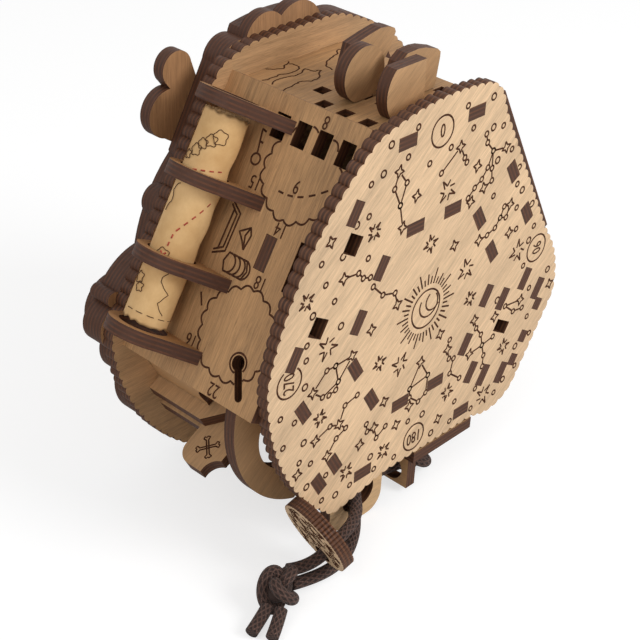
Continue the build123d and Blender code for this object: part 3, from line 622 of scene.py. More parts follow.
CHAINS = (
    ((-17.4, 50.4), (-18.9, 45.6), (-15.9, 39.6), (-13.8, 45.9), (-17.4, 50.4)),
    ((-15.9, 39.6), (-14.1, 32.1)),
    ((-37.5, 24.9), (-31.5, 24.3), (-29.4, 21.9), (-26.4, 21.0)),
    ((-24.9, 17.4), (-20.4, 12.9), (-15.0, 11.4), (-13.5, 6.9)),
    ((-47.7, -7.8), (-42.3, -2.7), (-38.7, -2.7), (-31.8, -2.4)),
    ((-47.7, -7.8), (-43.5, -11.1), (-37.2, -8.7), (-31.8, -2.4)),
    ((-38.7, -2.7), (-37.2, -8.7), (-38.1, -11.1), (-40.8, -11.7)),
    ((-45.6, -25.2), (-39.6, -23.1), (-35.7, -24.3), (-33.6, -18.6), (-28.5, -17.4)),
    ((-35.7, -24.3), (-32.7, -27.0), (-36.6, -28.8), (-40.2, -33.3)),
    ((-23.4, -30.3), (-22.8, -33.3), (-19.8, -33.3), (-18.3, -37.8), (-14.4, -35.4)),
    ((0.0, -18.9), (-4.2, -26.7), (-3.9, -30.0), (0.6, -33.6), (3.9, -31.8), (4.2, -25.5), (0.0, -18.9)),
    ((-4.2, -26.7), (4.2, -25.5)),
    ((25.2, -14.7), (26.7, -18.3), (29.7, -21.9), (30.9, -26.4), (32.4, -30.9), (32.4, -35.1)),
    ((24.6, -27.0), (30.9, -26.4), (36.3, -25.5)),
    ((49.2, -17.1), (41.1, -16.2), (45.9, -20.1), (50.7, -20.7)),
    ((12.9, -20.1), (14.1, -24.0), (16.5, -24.9), (15.3, -30.0), (20.7, -34.2)),
    ((1.2, 43.8), (9.0, 49.5), (11.4, 45.3), (12.6, 43.5)),
    ((20.7, 49.8), (21.6, 46.8), (24.9, 43.2), (31.2, 42.3)),
    ((24.9, 43.2), (23.1, 38.4), (20.7, 35.4), (17.7, 33.6), (15.0, 31.2)),
    ((24.9, 43.2), (25.2, 37.5), (25.8, 33.3), (22.2, 32.1)),
    ((22.8, 14.4), (26.7, 14.7), (30.3, 15.9), (32.4, 18.6), (33.9, 21.9), (36.9, 21.6)),
    ((36.9, 21.6), (35.4, 17.7), (32.4, 18.6)),
)
RINGS = (
    (-21.6, 59.7), (-10.8, 61.5), (-14.1, 53.7), (-24.0, 51.9), (-28.8, 50.4), (-4.5, 48.6), (-33.6, 39.9),
    (-28.8, 40.8), (-46.8, 33.0), (-38.4, 32.1), (-27.9, 27.6), (-44.7, 25.8), (-49.2, 18.0), (-40.8, 19.2),
    (-51.0, 9.3), (-37.5, 9.9), (-51.0, 4.5), (-60.3, -10.5), (-51.0, -4.2), (-54.6, -14.4), (-58.8, -21.0),
    (-50.4, -23.4), (-51.9, -29.7), (-47.1, -32.4), (-48.3, -40.2), (-40.2, -40.2), (-41.4, -48.9),
    (-35.4, -50.1), (-29.1, -49.8), (-18.3, -49.5), (-20.4, -43.8), (-9.0, -49.8), (-3.6, -39.0),
    (3.3, -39.6), (19.5, -42.6), (18.0, -49.5), (8.7, -49.5), (28.8, -49.8), (30.0, -42.6), (49.8, -35.1),
    (57.0, -33.0), (51.0, -43.2), (45.0, -45.9), (40.8, -49.2), (48.3, -4.2), (62.7, -11.1), (53.4, -14.4),
    (54.3, -25.5), (36.3, -12.0), (13.5, -16.8), (10.5, 61.5), (22.2, 60.9), (14.1, 53.7), (4.5, 50.7),
    (23.7, 51.0), (28.5, 50.1), (34.2, 40.8), (27.6, 39.3), (39.3, 33.3), (39.3, 27.6), (42.3, 24.6),
    (27.6, 27.6), (40.5, 19.2), (48.6, 17.7), (41.7, 11.4), (51.3, 9.0), (49.5, 4.5),
)


def chart_strokes():
    """Every line of the star chart."""
    strokes = []
    for _, x, z, _ in MEDALLIONS:
        strokes.append(circle(x, z, MEDALLION_RADIUS, steps=48))
    strokes.append(circle(0, 0, SUN_RADIUS, steps=56))
    strokes.append(circle(1.2, 1.0, SUN_RADIUS - 2.2, 150, 400, 40))
    strokes.append(circle(3.0, 1.6, SUN_RADIUS - 3.2, 120, 330, 30))
    for index in range(40):
        angle = math.radians(9 * index)
        reach = (13.0, 10.6, 11.6, 10.2)[index % 4]
        low = (8.1 * math.cos(angle), 8.1 * math.sin(angle))
        strokes.append([low, (reach * math.cos(angle), reach * math.sin(angle))])
    for index, (x, z, radius) in enumerate(BURSTS):
        strokes.extend(burst(x, z, radius, 8 if radius < 4 else 7, 0.3 * index))
    ends = set(SPARKS)
    for index, (x, z) in enumerate(SPARKS):
        strokes.append(star(x, z, 2.1, 4, 0.42, 0.25 * (index % 3 - 1)))
    for chain in CHAINS:
        for before, after in zip(chain, chain[1:]):
            gap = math.dist(before, after)
            near = (1.6 if before in ends else 0.9) / gap
            far = 1 - (1.6 if after in ends else 0.9) / gap
            if far > near:
                points = [[b + (a - b) * share for b, a in zip(before, after)] for share in (near, far)]
                strokes.append(points)
        for x, z in chain:
            if (x, z) not in ends:
                strokes.append(circle(x, z, 0.85, steps=14))
    for index, (x, z) in enumerate(RINGS):
        strokes.append(circle(x, z, 0.85 + 0.2 * (index % 3 == 0), steps=14))
    return strokes


# ---- marks on the map wall: place along the wall, depth ----
GEAR_MARKS = ((-23.4, 20.1), (23.7, 20.1))
GEAR_RADIUS = 13.2
WALL_NUMBERS = (
    ("22", -40.0, 20.0, 0), ("16", -31.0, 34.0, 0), ("18", -7.5, 19.0, 0), ("14", 8.0, 19.5, 0),
    ("15", 16.8, 34.0, 0), ("8", 39.6, 19.0, 0), ("9", 20.6, 20.0, 0),
)


def wavy_circle(x, y, radius, waves, height, steps=180):
    """Circle with small waves, such as a worn gear's outline."""
    points = []
    for index in range(steps + 1):
        turn = 2 * math.pi * index / steps
        reach = radius + height * (abs(math.sin(waves * turn / 2)) - 0.5) * 2
        reach += 0.25 * math.sin(5 * turn + x)
        points.append((x + reach * math.cos(turn), y + reach * math.sin(turn)))
    return points


def wall_strokes():
    """Gear outlines and small pictures of goods on the map wall."""
    strokes = [wavy_circle(x, y, GEAR_RADIUS, 18, 0.55) for x, y in GEAR_MARKS]
    strokes.append(circle(-30.0, 15.6, 2.9, steps=30))
    for index in range(4):
        low = 26.0 + 1.9 * index
        strokes.append(circle(-6.6, low + 0.9, 2.9, 200, 340, 12))
        strokes.append([(-9.3, low), (-9.3, low + 1.4)])
        strokes.append([(-3.9, low), (-3.9, low + 1.4)])
    strokes.append([(-9.3, 26.0), (-6.6, 24.9), (-3.9, 26.0)])
    strokes.append([(-9.3, 33.0), (-6.6, 34.0), (-3.9, 33.0)])
    strokes.append([(-1.6, 29.0), (0.6, 30.6), (2.6, 32.6), (4.9, 29.2), (2.9, 28.2), (-1.6, 29.0)])
    strokes.append([(-1.6, 29.0), (2.2, 30.2), (4.9, 29.2)])
    strokes.append([(-6.2, 39.0), (-4.2, 34.8), (7.0, 34.6), (9.6, 38.6)])
    strokes.append([(-5.2, 39.0), (-3.4, 35.9), (6.4, 35.7), (8.6, 38.6)])
    strokes.append([(-4.6, 37.6), (7.6, 37.2)])
    strokes.append([(-21.0, 35.2), (-17.6, 37.2)])
    strokes.append(circle(22.6, 37.0, 1.6, steps=20))
    strokes.append([(24.1, 37.2), (31.0, 38.6), (30.6, 37.0)])
    strokes.append([(27.6, 38.0), (27.4, 36.6)])
    dash_from, dash_to = (23.4, 9.4), (17.4, 26.5)
    for index in range(5):
        shares = (index / 5 + 0.02, index / 5 + 0.13)
        bow = [3.6 * math.sin(math.pi * share) for share in shares]
        points = []
        for share, out in zip(shares, bow):
            x = dash_from[0] + (dash_to[0] - dash_from[0]) * share
            y = dash_from[1] + (dash_to[1] - dash_from[1]) * share
            points.append((x - 0.6 * out, y))
        strokes.append(points)
    return strokes


def coast_line(points, wander, seed, steps=9):
    """Wandering line through points, like a coast on an old chart."""
    line = []
    for before, after in zip(points, points[1:]):
        for index in range(steps):
            share = index / steps
            x = before[0] + (after[0] - before[0]) * share
            y = before[1] + (after[1] - before[1]) * share
            shift = noise.noise_vector(Vector((x * 0.45 + seed, y * 0.45, seed)))
            line.append((x + shift.x * wander, y + shift.y * wander))
    line.append(points[-1])
    return line


TOP_COASTS = (
    ((-18.5, 42.5), (-12.0, 44.0), (-6.0, 41.8), (-1.0, 45.0),
     (-3.5, 48.6), (-9.0, 47.8), (-14.0, 49.4), (-18.5, 47.6)),
    ((-18.5, 51.0), (-12.5, 51.4), (-7.5, 50.0), (-3.0, 52.2), (-4.2, 55.0)),
    ((2.0, 44.0), (4.5, 48.6), (9.0, 50.4), (14.0, 52.6), (20.0, 52.8)),
    ((-12.0, 56.2), (-8.0, 54.0), (-3.0, 56.4)),
)
CARD_COASTS = (
    ((-27.0, -1.3), (-24.0, -0.9), (-21.0, -1.2), (-18.0, -0.7), (-15.0, -0.9)),
    ((0.5, 0.45), (3.5, 0.15), (6.6, 0.4), (9.0, 0.1)),
)
ISLANDS = (
    (-11.0, -0.35, 1.9), (-19.4, 0.3, 1.6), (-21.8, 0.1, 1.3), (17.2, 0.35, 1.2), (19.2, 0.0, 1.6),
    (21.4, -0.2, 1.4), (23.0, -0.5, 1.6), (24.6, -0.8, 2.0),
)


def mark_tab(matrix):
    """Crossed mark on the end of the tab."""
    strokes = []
    for turn in (45, -45):
        c, s = math.cos(math.radians(turn)), math.sin(math.radians(turn))
        outline = [(-3.4, 0.5), (-4.6, 1.4), (-5.2, 0.3), (-4.7, -0.2), (-5.2, -0.9), (-4.3, -1.5), (-3.4, -0.5)]
        outline = outline + [(3.4, -0.5), (4.3, -1.5), (5.2, -0.9), (4.7, -0.2),
                             (5.2, 0.3), (4.6, 1.4), (3.4, 0.5), (-3.4, 0.5)]
        strokes.append([(69.8 + 0.72 * (x * c - y * s), -29.0 + 0.72 * (x * s + y * c)) for x, y in outline])
    return engrave("tab_mark", matrix, strokes, "pull_tab", "tab", 0.5)


# ---- cord, coin and knots ----
STRAND_A = (
    (6.8, 9.0, -61.3), (-3.5, 11.4, -61.0), (-14.0, 11.0, -59.4), (-21.5, 4.4, -58.6),
    (-29.5, -4.4, -59.0), (-39.5, -6.8, -59.8), (-51.5, -5.8, -64.8), (-58.0, -3.0, -63.6),
)
STRAND_B = (
    (6.8, 9.0, -65.2), (-3.0, 11.4, -65.0), (-13.5, 11.4, -63.6), (-21.0, 5.0, -62.6),
    (-28.5, -3.2, -65.4), (-37.5, -7.6, -68.2), (-49.0, -7.8, -68.6), (-58.8, -5.4, -67.2),
)
TAILS = (
    ((-71.0, -8.0, -66.2), (-75.2, -9.2, -67.8), (-80.0, -10.6, -68.6)),
    ((-69.2, -11.6, -66.2), (-73.0, -13.9, -67.8), (-77.2, -16.0, -68.6)),
)
KNOTS = (
    ("cord_knot", (-64.6, -6.3, -64.4), (8.6, 6.6, 6.0), 28.0),
    ("stopper_knot", (14.2, 9.0, -64.0), (9.3, 6.2, 5.7), 0.0),
)
COIN_CENTRE = (-50.2, -5.7, -54.7)
COIN_NORMAL = (-0.899, 0.132, -0.414)
COIN_HOLE_SPOT = (-46.6, -6.4, -62.6)
COIN_RADIUS, COIN_HOLE, COIN_HOLE_OFFSET = 12.6, 3.1, 8.2
COIN_NOTCHES = 60
KNOT_RING = 0.60         # middle of a knot's loops, as a share of its radius


def tied_knot(name, centre, radii, turn):
    """Overhand knot as a closed tube round a core."""
    steps = 132
    points = []
    for index in range(steps + 1):
        angle = 2 * math.pi * index / steps
        ring = KNOT_RING + (1 - KNOT_RING) * math.cos(3 * angle)
        spot = (ring * math.cos(2 * angle), ring * math.sin(2 * angle), -math.sin(3 * angle))
        points.append(Vector([share * (radius - CORD_RADIUS - 0.1) for share, radius in zip(spot, radii)]))
    matrix = frame_matrix(place(*centre), *(Matrix.Rotation(math.radians(turn), 3, "Z").col[i] for i in range(3)))
    path = [matrix @ point for point in points]
    bm = tube(path, CORD_RADIUS * MM, 18)
    return finish_piece(name + "_braid", bm, bpy.data.materials["braided_cord"], "case", True)


def knot_core(name, centre, radii, turn):
    """Cord hidden in the middle of a knot."""
    bm = bmesh.new()
    bmesh.ops.create_icosphere(bm, subdivisions=3, radius=1.0)
    rotation = Matrix.Rotation(math.radians(turn), 4, "Z")
    scale = Matrix.Diagonal([(radius - 3.0) * MM for radius in radii] + [1])
    bmesh.ops.transform(bm, matrix=Matrix.Translation(place(*centre)) @ rotation @ scale, verts=bm.verts)
    return finish_piece(name + "_core", bm, bpy.data.materials["braided_cord"], "case", True)


def coin_matrix():
    """Frame of the coin's outer face, x towards its hole."""
    centre = place(*COIN_CENTRE)
    normal = Vector(COIN_NORMAL).normalized()
    towards = place(*COIN_HOLE_SPOT) - centre
    towards = (towards - normal * towards.dot(normal)).normalized()
    return frame_matrix(centre, towards, normal.cross(towards), normal)


def coin_body(matrix):
    """Coin with a milled rim and a hole, its outer face at z 0 and 4 mm thick."""
    bm = bmesh.new()
    around = COIN_NOTCHES * 4
    rim = bmesh.ops.create_circle(bm, segments=around, radius=COIN_RADIUS - 0.05)["verts"]
    for vert in rim:
        phase = (math.atan2(vert.co.y, vert.co.x) / (2 * math.pi) * COIN_NOTCHES) % 1.0
        vert.co *= 1 - (0.034 if 0.3 < phase < 0.7 else 0.0)
    hole = bmesh.ops.create_circle(bm, segments=48, radius=COIN_HOLE)["verts"]
    bmesh.ops.translate(bm, verts=hole, vec=(COIN_HOLE_OFFSET, 0, 0))
    bmesh.ops.triangle_fill(bm, use_beauty=True, use_dissolve=False, edges=bm.edges)
    lid = [face for face in bm.faces]
    made = bmesh.ops.extrude_face_region(bm, geom=lid)["geom"]
    lower = [item for item in made if isinstance(item, bmesh.types.BMVert)]
    bmesh.ops.translate(bm, verts=lower, vec=(0, 0, -PLY))
    bmesh.ops.recalc_face_normals(bm, faces=bm.faces)
    bmesh.ops.transform(bm, matrix=matrix, verts=bm.verts)
    return bm


def coin_strokes():
    """Curling waves and small rings on the coin."""
    strokes = []
    for row in range(5):
        for column in range(5):
            x, y = -8.6 + 3.9 * row, -8.2 + 3.9 * column + 1.8 * (row % 2)
            for ring in range(3):
                turn = 70 * (row + 2 * column)
                strokes.append(circle(x, y, 0.7 + 0.62 * ring, turn, turn + 210 + 25 * ring, 16))
    for index in range(12):
        angle = 2 * math.pi * index / 12 + 0.26
        strokes.append(circle(10.4 * math.cos(angle), 10.4 * math.sin(angle), 0.62, steps=12))
    strokes = [[p for p in stroke if math.hypot(*p) < 11.4] for stroke in strokes]
    hole = (COIN_HOLE_OFFSET, 0)
    return [s for s in strokes
            if len(s) > 1 and all(math.dist(p, hole) > COIN_HOLE + 0.5 for p in s)]


# ---- rolled map ----
ROLL_RADIUS, ROLL_CORE, ROLL_HALF = 6.95, 4.7, 31.4
ROLL_SEAT, ROLL_DEPTH = 61.5, 45.6
ROLL_TURNS = 2.2
CARD = 0.34
RAGGED, TORN = 1.8, 0.20      # how far the ends and the outer edge are torn
ROLL_LIP = -0.62 * math.pi   # angle of the outer edge, from the outward direction towards the front


CROSS_TURN = -0.35
DASHES = 11
# stretches of the dashed line: shares of it, and its ends as place along the roll and angle
TRAIL = (
    ((0.0, 0.18), (-8.6, -0.42), (-4.0, -0.48)),
    ((0.18, 0.64), (-4.0, -0.48), (7.6, -1.55)),
    ((0.64, 1.0), (13.8, -0.15), (16.2, -1.5)),
)


def roll_matrix():
    """Frame of the roll's axis: x along it, y outwards and z to the front."""
    out = outward(UPPER_LEFT) * ROLL_SEAT
    return frame_matrix(place(out.x, ROLL_DEPTH, out.z), along(UPPER_LEFT),
                        outward(UPPER_LEFT), Vector((0, 1, 0)))


def roll_point(matrix, length, angle, radius):
    """Point on the roll, its angle from the outward direction towards the front."""
    return matrix @ Vector((length, radius * math.cos(angle), radius * math.sin(angle)))


def rolled_card(matrix):
    """Sheet of card wound in a spiral, with torn edges."""
    def position(u, v):
        ragged = abs(noise.noise(Vector((v * 30, round(u) * 9.0, 3.0)))) * RAGGED
        length = (2 * u - 1) * (ROLL_HALF - ragged * (2 * u - 1) ** 12)
        tear = noise.noise(Vector((u * 11, 7.0, 0.0))) * TORN * max(0.0, 1 - v * 8) ** 2
        angle = ROLL_LIP + 2 * math.pi * ROLL_TURNS * v + tear
        radius = ROLL_RADIUS - CARD - (ROLL_RADIUS - CARD - ROLL_CORE) * v
        return roll_point(matrix, length, angle, radius)

    bm = surface_grid(90, 150, position, scorch=lambda u, v: max(0.0, (abs(2 * u - 1) - 0.95) * 14))
    bmesh.ops.recalc_face_normals(bm, faces=bm.faces)
    made = bmesh.ops.extrude_face_region(bm, geom=bm.faces[:], use_keep_orig=True)["geom"]
    axis, origin = matrix.col[0].to_3d().normalized(), matrix.translation
    for vert in (item for item in made if isinstance(item, bmesh.types.BMVert)):
        arm = vert.co - origin
        vert.co += (arm - axis * arm.dot(axis)).normalized() * CARD * MM
    bmesh.ops.recalc_face_normals(bm, faces=bm.faces)
    return bm


def card_marks(matrix, name, strokes, width, material, radius=ROLL_RADIUS + 0.02):
    """Printed lines wound on the roll, each point given as length and angle."""
    curve = bpy.data.curves.new(name, "CURVE")
    curve.dimensions = "3D"
    curve.bevel_depth = width / 2 * MM
    curve.bevel_resolution = 1
    curve.use_fill_caps = True
    for stroke in strokes:
        spline = curve.splines.new("POLY")
        points = []
        for before, after in zip(stroke, stroke[1:]):
            steps = max(2, round(abs(after[1] - before[1]) * 14))
            points += [[b + (a - b) * i / steps for b, a in zip(before, after)] for i in range(steps)]
        points.append(stroke[-1])
        spline.points.add(len(points) - 1)
        for spot, (length, angle) in zip(spline.points, points):
            spot.co = (*roll_point(matrix, length, angle, radius - width * 0.42), 1)
    holder = bpy.data.objects.new(name, curve)
    bpy.context.scene.collection.objects.link(holder)
    mesh = bpy.data.meshes.new_from_object(holder)
    bpy.data.objects.remove(holder)
    bpy.data.curves.remove(curve)
    return finish_mesh(name, mesh, material, "map", True)


# ---- operators ----
class BOX_OT_stage(bpy.types.Operator):
    """Set up the camera, the lamps, the floor and the pale surroundings"""

    bl_idname = "object.box_stage"
    bl_label = "Stage"

    def execute(self, context):
        settings = context.scene.box_stage
        scene = context.scene
        scene.view_settings.view_transform = "Standard"
        camera = bpy.data.cameras.new("camera")
        camera.lens = settings.lens
        camera.sensor_width = 36
        camera.clip_start = 0.01
        holder = bpy.data.objects.new("camera", camera)
        scene.collection.objects.link(holder)
        axes = ((0.68610, -0.72609, 0.04537), (0.35842, 0.39164, 0.84744), (-0.63308, -0.56517, 0.52895))
        matrix = Matrix.Identity(4)
        for column, axis in enumerate(axes):
            for row in range(3):
                matrix[row][column] = axis[row]
        matrix.translation = place(-305.1, -231.03, 231.84)
        holder.matrix_world = matrix
        scene.camera = holder
        self.add_lamp(context, "key_lamp", (0.28, -0.86, 0.62), 0.9, 0.45, settings.key)
        self.add_lamp(context, "fill_lamp", (-0.9, -0.2, 0.75), 1.1, 0.7, settings.fill)
        self.add_floor(context)
        self.add_sky(context, settings.sky)
        return {"FINISHED"}

    def add_lamp(self, context, name, direction, distance, size, power):
        light = bpy.data.lights.new(name, "AREA")
        light.shape = "DISK"
        light.size = size
        light.energy = power
        holder = bpy.data.objects.new(name, light)
        context.scene.collection.objects.link(holder)
        aim = Vector(direction).normalized()
        turn = aim.to_track_quat("Z", "Y").to_matrix().to_4x4()
        holder.matrix_world = Matrix.Translation(place(0, 38, 0) + aim * distance) @ turn

    def add_floor(self, context):
        bm = bmesh.new()
        bmesh.ops.create_circle(bm, cap_ends=True, segments=64, radius=6.0)
        bmesh.ops.translate(bm, verts=bm.verts, vec=(0, 0, -0.0004))
        mesh = bpy.data.meshes.new("floor")
        bm.to_mesh(mesh)
        bm.free()
        material = bpy.data.materials.new("pale_floor")
        material.use_nodes = True
        tree = material.node_tree
        tree.nodes.clear()
        seen = add(tree, "ShaderNodeAddShader")
        shaded = add(tree, "ShaderNodeBsdfDiffuse", {"Color": (0.42, 0.42, 0.42, 1)})
        bright = add(tree, "ShaderNodeEmission", {"Color": (1, 1, 1, 1), "Strength": 0.66})
        plain = add(tree, "ShaderNodeBsdfDiffuse", {"Color": (0.75, 0.74, 0.73, 1)})
        mixed = add(tree, "ShaderNodeMixShader")
        path = add(tree, "ShaderNodeLightPath")
        output = add(tree, "ShaderNodeOutputMaterial")
        tree.links.new(shaded.outputs[0], seen.inputs[0])
        tree.links.new(bright.outputs[0], seen.inputs[1])
        tree.links.new(path.outputs["Is Camera Ray"], mixed.inputs[0])
        tree.links.new(plain.outputs[0], mixed.inputs[1])
        tree.links.new(seen.outputs[0], mixed.inputs[2])
        tree.links.new(mixed.outputs[0], output.inputs[0])
        mesh.materials.append(material)
        floor = bpy.data.objects.new("floor", mesh)
        context.scene.collection.objects.link(floor)

    def add_sky(self, context, strength):
        world = bpy.data.worlds.new("pale_sky")
        world.use_nodes = True
        tree = world.node_tree
        background = tree.nodes["Background"]
        background.inputs["Color"].default_value = (1, 1, 1, 1)
        path = add(tree, "ShaderNodeLightPath")
        seen = math_node(tree, "MAXIMUM", path.outputs["Is Camera Ray"], path.outputs["Is Glossy Ray"])
        seen = math_node(tree, "MAXIMUM", seen, path.outputs["Is Transmission Ray"])
        tree.links.new(map_range(tree, seen, 0, 1, strength, 1.0), background.inputs["Strength"])
        context.scene.world = world


class BOX_OT_cord(bpy.types.Operator):
    """Lay the two strands of the cord and tie their knots"""

    bl_idname = "object.box_cord"
    bl_label = "Cord and knots"

    def execute(self, context):
        material = bpy.data.materials["braided_cord"]
        with_pieces = []
        for name, *shape in KNOTS:
            braid = tied_knot(name, *shape)
            core = knot_core(name, *shape)
            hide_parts(name)
            with_pieces += [braid, core]
        for letter, points in zip("ab", TAILS):
            path = spline_path("tail_route", [place(*point) for point in points])
            tail = finish_piece("tail_" + letter, tube(path, CORD_RADIUS * MM), material,
                                "case", True)
            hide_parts("cord_tail_" + letter)
            with_pieces.append(tail)
        for letter, points in zip("ab", (STRAND_A, STRAND_B)):
            path = spline_path("strand_route", [place(*point) for point in points])
            length = sum((after - before).length for before, after in zip(path, path[1:]))
            strand = finish_piece("strand_" + letter, tube(path, CORD_RADIUS * MM), material,
                                  "case", True)
            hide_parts("cord_strand_" + letter)
            tuple(path[0])
            with_pieces = []
        return {"FINISHED"}


class BOX_OT_coin(bpy.types.Operator):
    """Cut the coin that hangs on the cord"""

    bl_idname = "object.box_coin"
    bl_label = "Coin"

    def execute(self, context):
        matrix = coin_matrix()
        coin = finish_piece("coin_disc", coin_body(matrix), bpy.data.materials["coin_ply"],
                            "case", False)
        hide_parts("coin")
        engrave("coin_waves", matrix, coin_strokes(), "coin", "case", 0.24)
        strokes = [[(x, -y) for x, y in stroke] for stroke in coin_strokes()]
        back = matrix @ Matrix.Translation((0, 0, -PLY)) @ Matrix.Diagonal((1, -1, -1, 1))
        engrave("coin_waves_back", back, strokes, "coin", "case", 0.24)
        return {"FINISHED"}


class BOX_OT_map(bpy.types.Operator):
    """Roll the map and print its lines"""

    bl_idname = "object.box_map"
    bl_label = "Rolled map"

    def execute(self, context):
        matrix = roll_matrix()
        roll = finish_piece("map_sheet", rolled_card(matrix), bpy.data.materials["aged_card"],
                            "map", True)
        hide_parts("map_roll")
        dashes = []
        for index in range(DASHES):
            shares = (index + 0.2) / DASHES, (index + 0.7) / DASHES
            dashes.append([self.trail(share) for share in shares])
        for side in (-1, 1):
            dashes.append([(-11.9, CROSS_TURN + 0.13 * side), (-10.1, CROSS_TURN - 0.13 * side)])
        card_marks(matrix, "map_dashes", dashes, 0.5, bpy.data.materials["map_ink"])
        lines = []
        for index in range(5):
            angle = -2.0 + 0.5 * index
            lines.append([(-28.3, angle), (-28.3, angle + 0.3)])
        for coast in CARD_COASTS:
            lines.append([tuple(point) for point in coast_line(coast, 0.12, 2.0)])
        for length, angle, size in ISLANDS:
            ring = [(length + x, angle + y / ROLL_RADIUS) for x, y in wavy_circle(0, 0, size, 4, 0.10, 24)]
            lines.append(ring)
        card_marks(matrix, "map_lines", lines, 0.22, bpy.data.materials["engraved_burn"])
        return {"FINISHED"}

    def trail(self, share):
        """Place and angle on the roll of a share of the dashed line."""
        for (low, high), start, end in TRAIL:
            if share <= high:
                part = (share - low) / (high - low)
                return [s + (e - s) * part for s, e in zip(start, end)]
        return TRAIL[-1][2]


class BOX_OT_plywood(bpy.types.Operator):
    """Give the wooden parts their grain and burnt edges"""

    bl_idname = "object.box_plywood"
    bl_label = "Plywood"

    def execute(self, context):
        settings = context.scene.box_finish
        x, y, z = Vector((1, 0, 0)), Vector((0, 1, 0)), Vector((0, 0, 1))
        long = {angle: along(angle) for angle in (UPPER_RIGHT, UPPER_LEFT, LOWER_LEFT)}
        slanted = Vector((0.77, 0, 0.64)).normalized()
        finishes = (
            ("pale_face", settings.pale, y, slanted, 1.1, ("back_plate",)),
            ("front_face", settings.moving, y, x, 1.3, ("front_plate",)),
            ("front_petals", settings.front, y, z, 1.3,
             ("lobed_layer_inner", "lobed_layer_outer", "petal_layer")),
            ("ear_face", settings.ear, y, x, 1.1, ("cord_ear", "foot")),
            ("dial_face", settings.moving, y, x, 1.0,
             ("front_dial", "dial_knob", "dial_cap", "dial_cam", "dial_axle")),
            ("grip_face", settings.moving, y, slanted, 1.0,
             ("grip_a_front", "grip_a_rear", "grip_b_front", "grip_b_rear", "pull_handle", "map_wall_rib")),
            ("top_ply", settings.wall, z, x, 1.4,
             ("top_wall", "core_wall_top", "grip_a_slider", "grip_b_slider")),
            ("bottom_ply", settings.wall, z, x, 1.0, ("bottom_wall", "core_wall_bottom", "cord_shelf")),
            ("map_wall_ply", settings.wall, outward(150), long[150], 1.5,
             ("scroll_wall", "core_wall_upper_left")),
            ("upper_right_ply", settings.wall, outward(30), y, 1.0,
             ("upper_right_wall", "core_wall_upper_right", "lid_rail_back", "lid_rail_front", "lid_lip_back",
              "lid_lip_front")),
            ("lid_ply", settings.moving, outward(30), long[30], 1.0, ("pocket_lid",)),
            ("lower_right_ply", settings.wall, outward(-30), y, 1.0,
             ("lower_right_wall", "pocket_wall", "shield_wall", "shield_cover", "core_wall_lower_right")),
            ("lower_left_ply", settings.wall, outward(210), y, 1.0,
             ("lower_left_wall", "lower_left_guard", "lower_left_stub", "core_wall_lower_left", "tab_foot")),
            ("hook_face", settings.hook, long[150], outward(150), 1.2,
             ("map_hook_1", "map_hook_2", "map_hook_3", "map_hook_4")),
            ("tab_face", settings.moving, long[210], outward(210), 1.0,
             ("pull_tab", "tab_rail_upper", "tab_rail_lower")),
            ("block_ply", settings.wall, x, y, 1.0, ("cord_block",)),
        )
        for name, colour, facing, grain, contrast, nodes in finishes:
            material = ply_material(name, colour, facing, grain, contrast)
            for node in nodes:
                piece = frame["nodes"][node]
                piece.data.materials.clear()
                piece.data.materials.append(material)
        normal = Vector(COIN_NORMAL).normalized()
        ply_material("coin_ply", settings.pale, normal, normal.orthogonal().normalized(), 1.0)
        return {"FINISHED"}


class BOX_OT_finishes(bpy.types.Operator):
    """Make the node groups and the materials of ink, card and cord"""

    bl_idname = "object.box_finishes"
    bl_label = "Finishes"

    def execute(self, context):
        make_grain_group()
        make_edge_group()
        burnt_material()
        card_material()
        dash_material()
        cord_material()
        return {"FINISHED"}


class BOX_OT_chart(bpy.types.Operator):
    """Engrave the star chart on the back plate"""

    bl_idname = "object.box_chart"
    bl_label = "Star chart"

    def execute(self, context):
        matrix = back_frame()
        engrave("star_chart", matrix, chart_strokes(), "back_plate", "case", LINE_WIDTH)
        words = [(text, x, z, turn) for text, x, z, turn in MEDALLIONS]
        number_mesh("chart_numbers", matrix, words, 6.0)
        return {"FINISHED"}


class BOX_OT_wall_marks(bpy.types.Operator):
    """Engrave the map wall, the top wall and the tab"""

    bl_idname = "object.box_wall_marks"
    bl_label = "Wall marks"

    def execute(self, context):
        matrix = flank_frame(UPPER_LEFT, SCROLL_FACE)
        engrave("wall_marks", matrix, wall_strokes(), "scroll_wall")
        number_mesh("wall_numbers", matrix, [(t, x, y, 90 + turn) for t, x, y, turn in WALL_NUMBERS], 5.6)
        top = flank_frame(TOP, TOP_FACE)
        coasts = [coast_line(coast, 1.1, 5.0 * index) for index, coast in enumerate(TOP_COASTS)]
        engrave("top_coasts", top, coasts, "top_wall", "case", 0.5)
        mark_tab(cross_frame(LOWER_LEFT, -3.0 + PLY / 2))
        return {"FINISHED"}


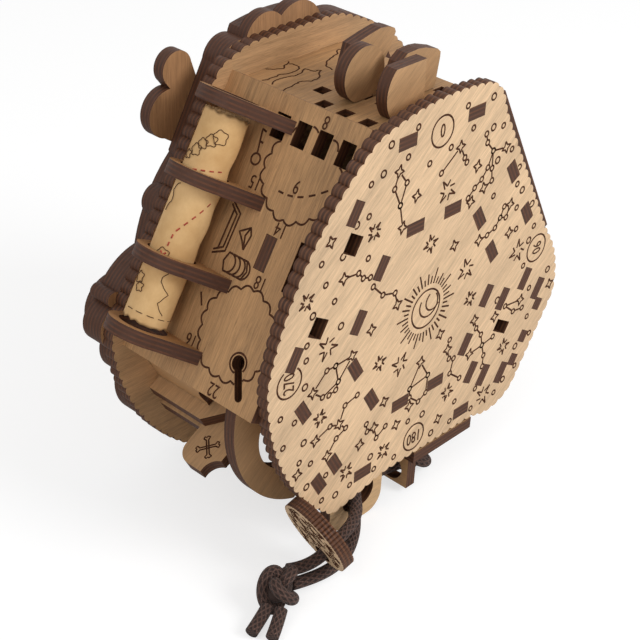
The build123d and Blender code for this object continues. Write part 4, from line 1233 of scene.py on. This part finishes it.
class BOX_OT_dial_marks(bpy.types.Operator):
    """Engrave the numbers and scale of the front dial"""

    bl_idname = "object.box_dial_marks"
    bl_label = "Dial marks"

    def execute(self, context):
        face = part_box("front_dial")[1][1] / MM
        origin = Vector((AXIS.x, face, AXIS.z)) * MM
        matrix = frame_matrix(origin, Vector((-1, 0, 0)), Vector((0, 0, 1)), Vector((0, 1, 0)))
        strokes = [circle(0, 0, 33.6, steps=120), circle(0, 0, 22.4, steps=90)]
        words = []
        for index in range(24):
            angle = 2 * math.pi * index / 24
            s, c = math.sin(angle), math.cos(angle)
            strokes.append([(30.4 * s, 30.4 * c), (33.6 * s, 33.6 * c)])
            if index % 2 == 0:
                words.append((str(index), 26.6 * s, 26.6 * c, -math.degrees(angle)))
        engrave("dial_scale", matrix, strokes, "front_dial", "front_dial", LINE_WIDTH)
        number_mesh("dial_numbers", matrix, words, 4.6, "front_dial")
        return {"FINISHED"}


class BOX_PT_panel(bpy.types.Panel):
    """The box's pieces in the order in which they are made"""

    bl_idname = "BOX_PT_panel"
    bl_label = "Puzzle Box"
    bl_space_type = "VIEW_3D"
    bl_region_type = "UI"
    bl_category = "Puzzle Box"

    def draw(self, context):
        for group in (context.scene.box_finish, context.scene.box_stage):
            for name in group.__annotations__:
                self.layout.prop(group, name)
        for operator in OPERATORS:
            self.layout.operator(operator.bl_idname)


OPERATORS = (
    BOX_OT_stage, BOX_OT_finishes, BOX_OT_cord, BOX_OT_plywood, BOX_OT_coin, BOX_OT_map, BOX_OT_chart,
    BOX_OT_wall_marks, BOX_OT_dial_marks,
)
CLASSES = (BOX_PG_finish, BOX_PG_stage, *OPERATORS, BOX_PT_panel)


def register():
    """Register the classes and their settings."""
    for kind in CLASSES:
        bpy.utils.register_class(kind)
    bpy.types.Scene.box_finish = bpy.props.PointerProperty(type=BOX_PG_finish)
    bpy.types.Scene.box_stage = bpy.props.PointerProperty(type=BOX_PG_stage)


def unregister():
    """Remove the settings and the classes."""
    del bpy.types.Scene.box_stage
    del bpy.types.Scene.box_finish
    for kind in reversed(CLASSES):
        bpy.utils.unregister_class(kind)


def main():
    """Make every piece."""
    register()
    bpy.ops.object.box_stage()
    bpy.ops.object.box_finishes()
    bpy.ops.object.box_cord()
    bpy.ops.object.box_plywood()
    bpy.ops.object.box_coin()
    bpy.ops.object.box_map()
    bpy.ops.object.box_chart()
    bpy.ops.object.box_wall_marks()
    bpy.ops.object.box_dial_marks()


if __name__ == "__main__":
    main()
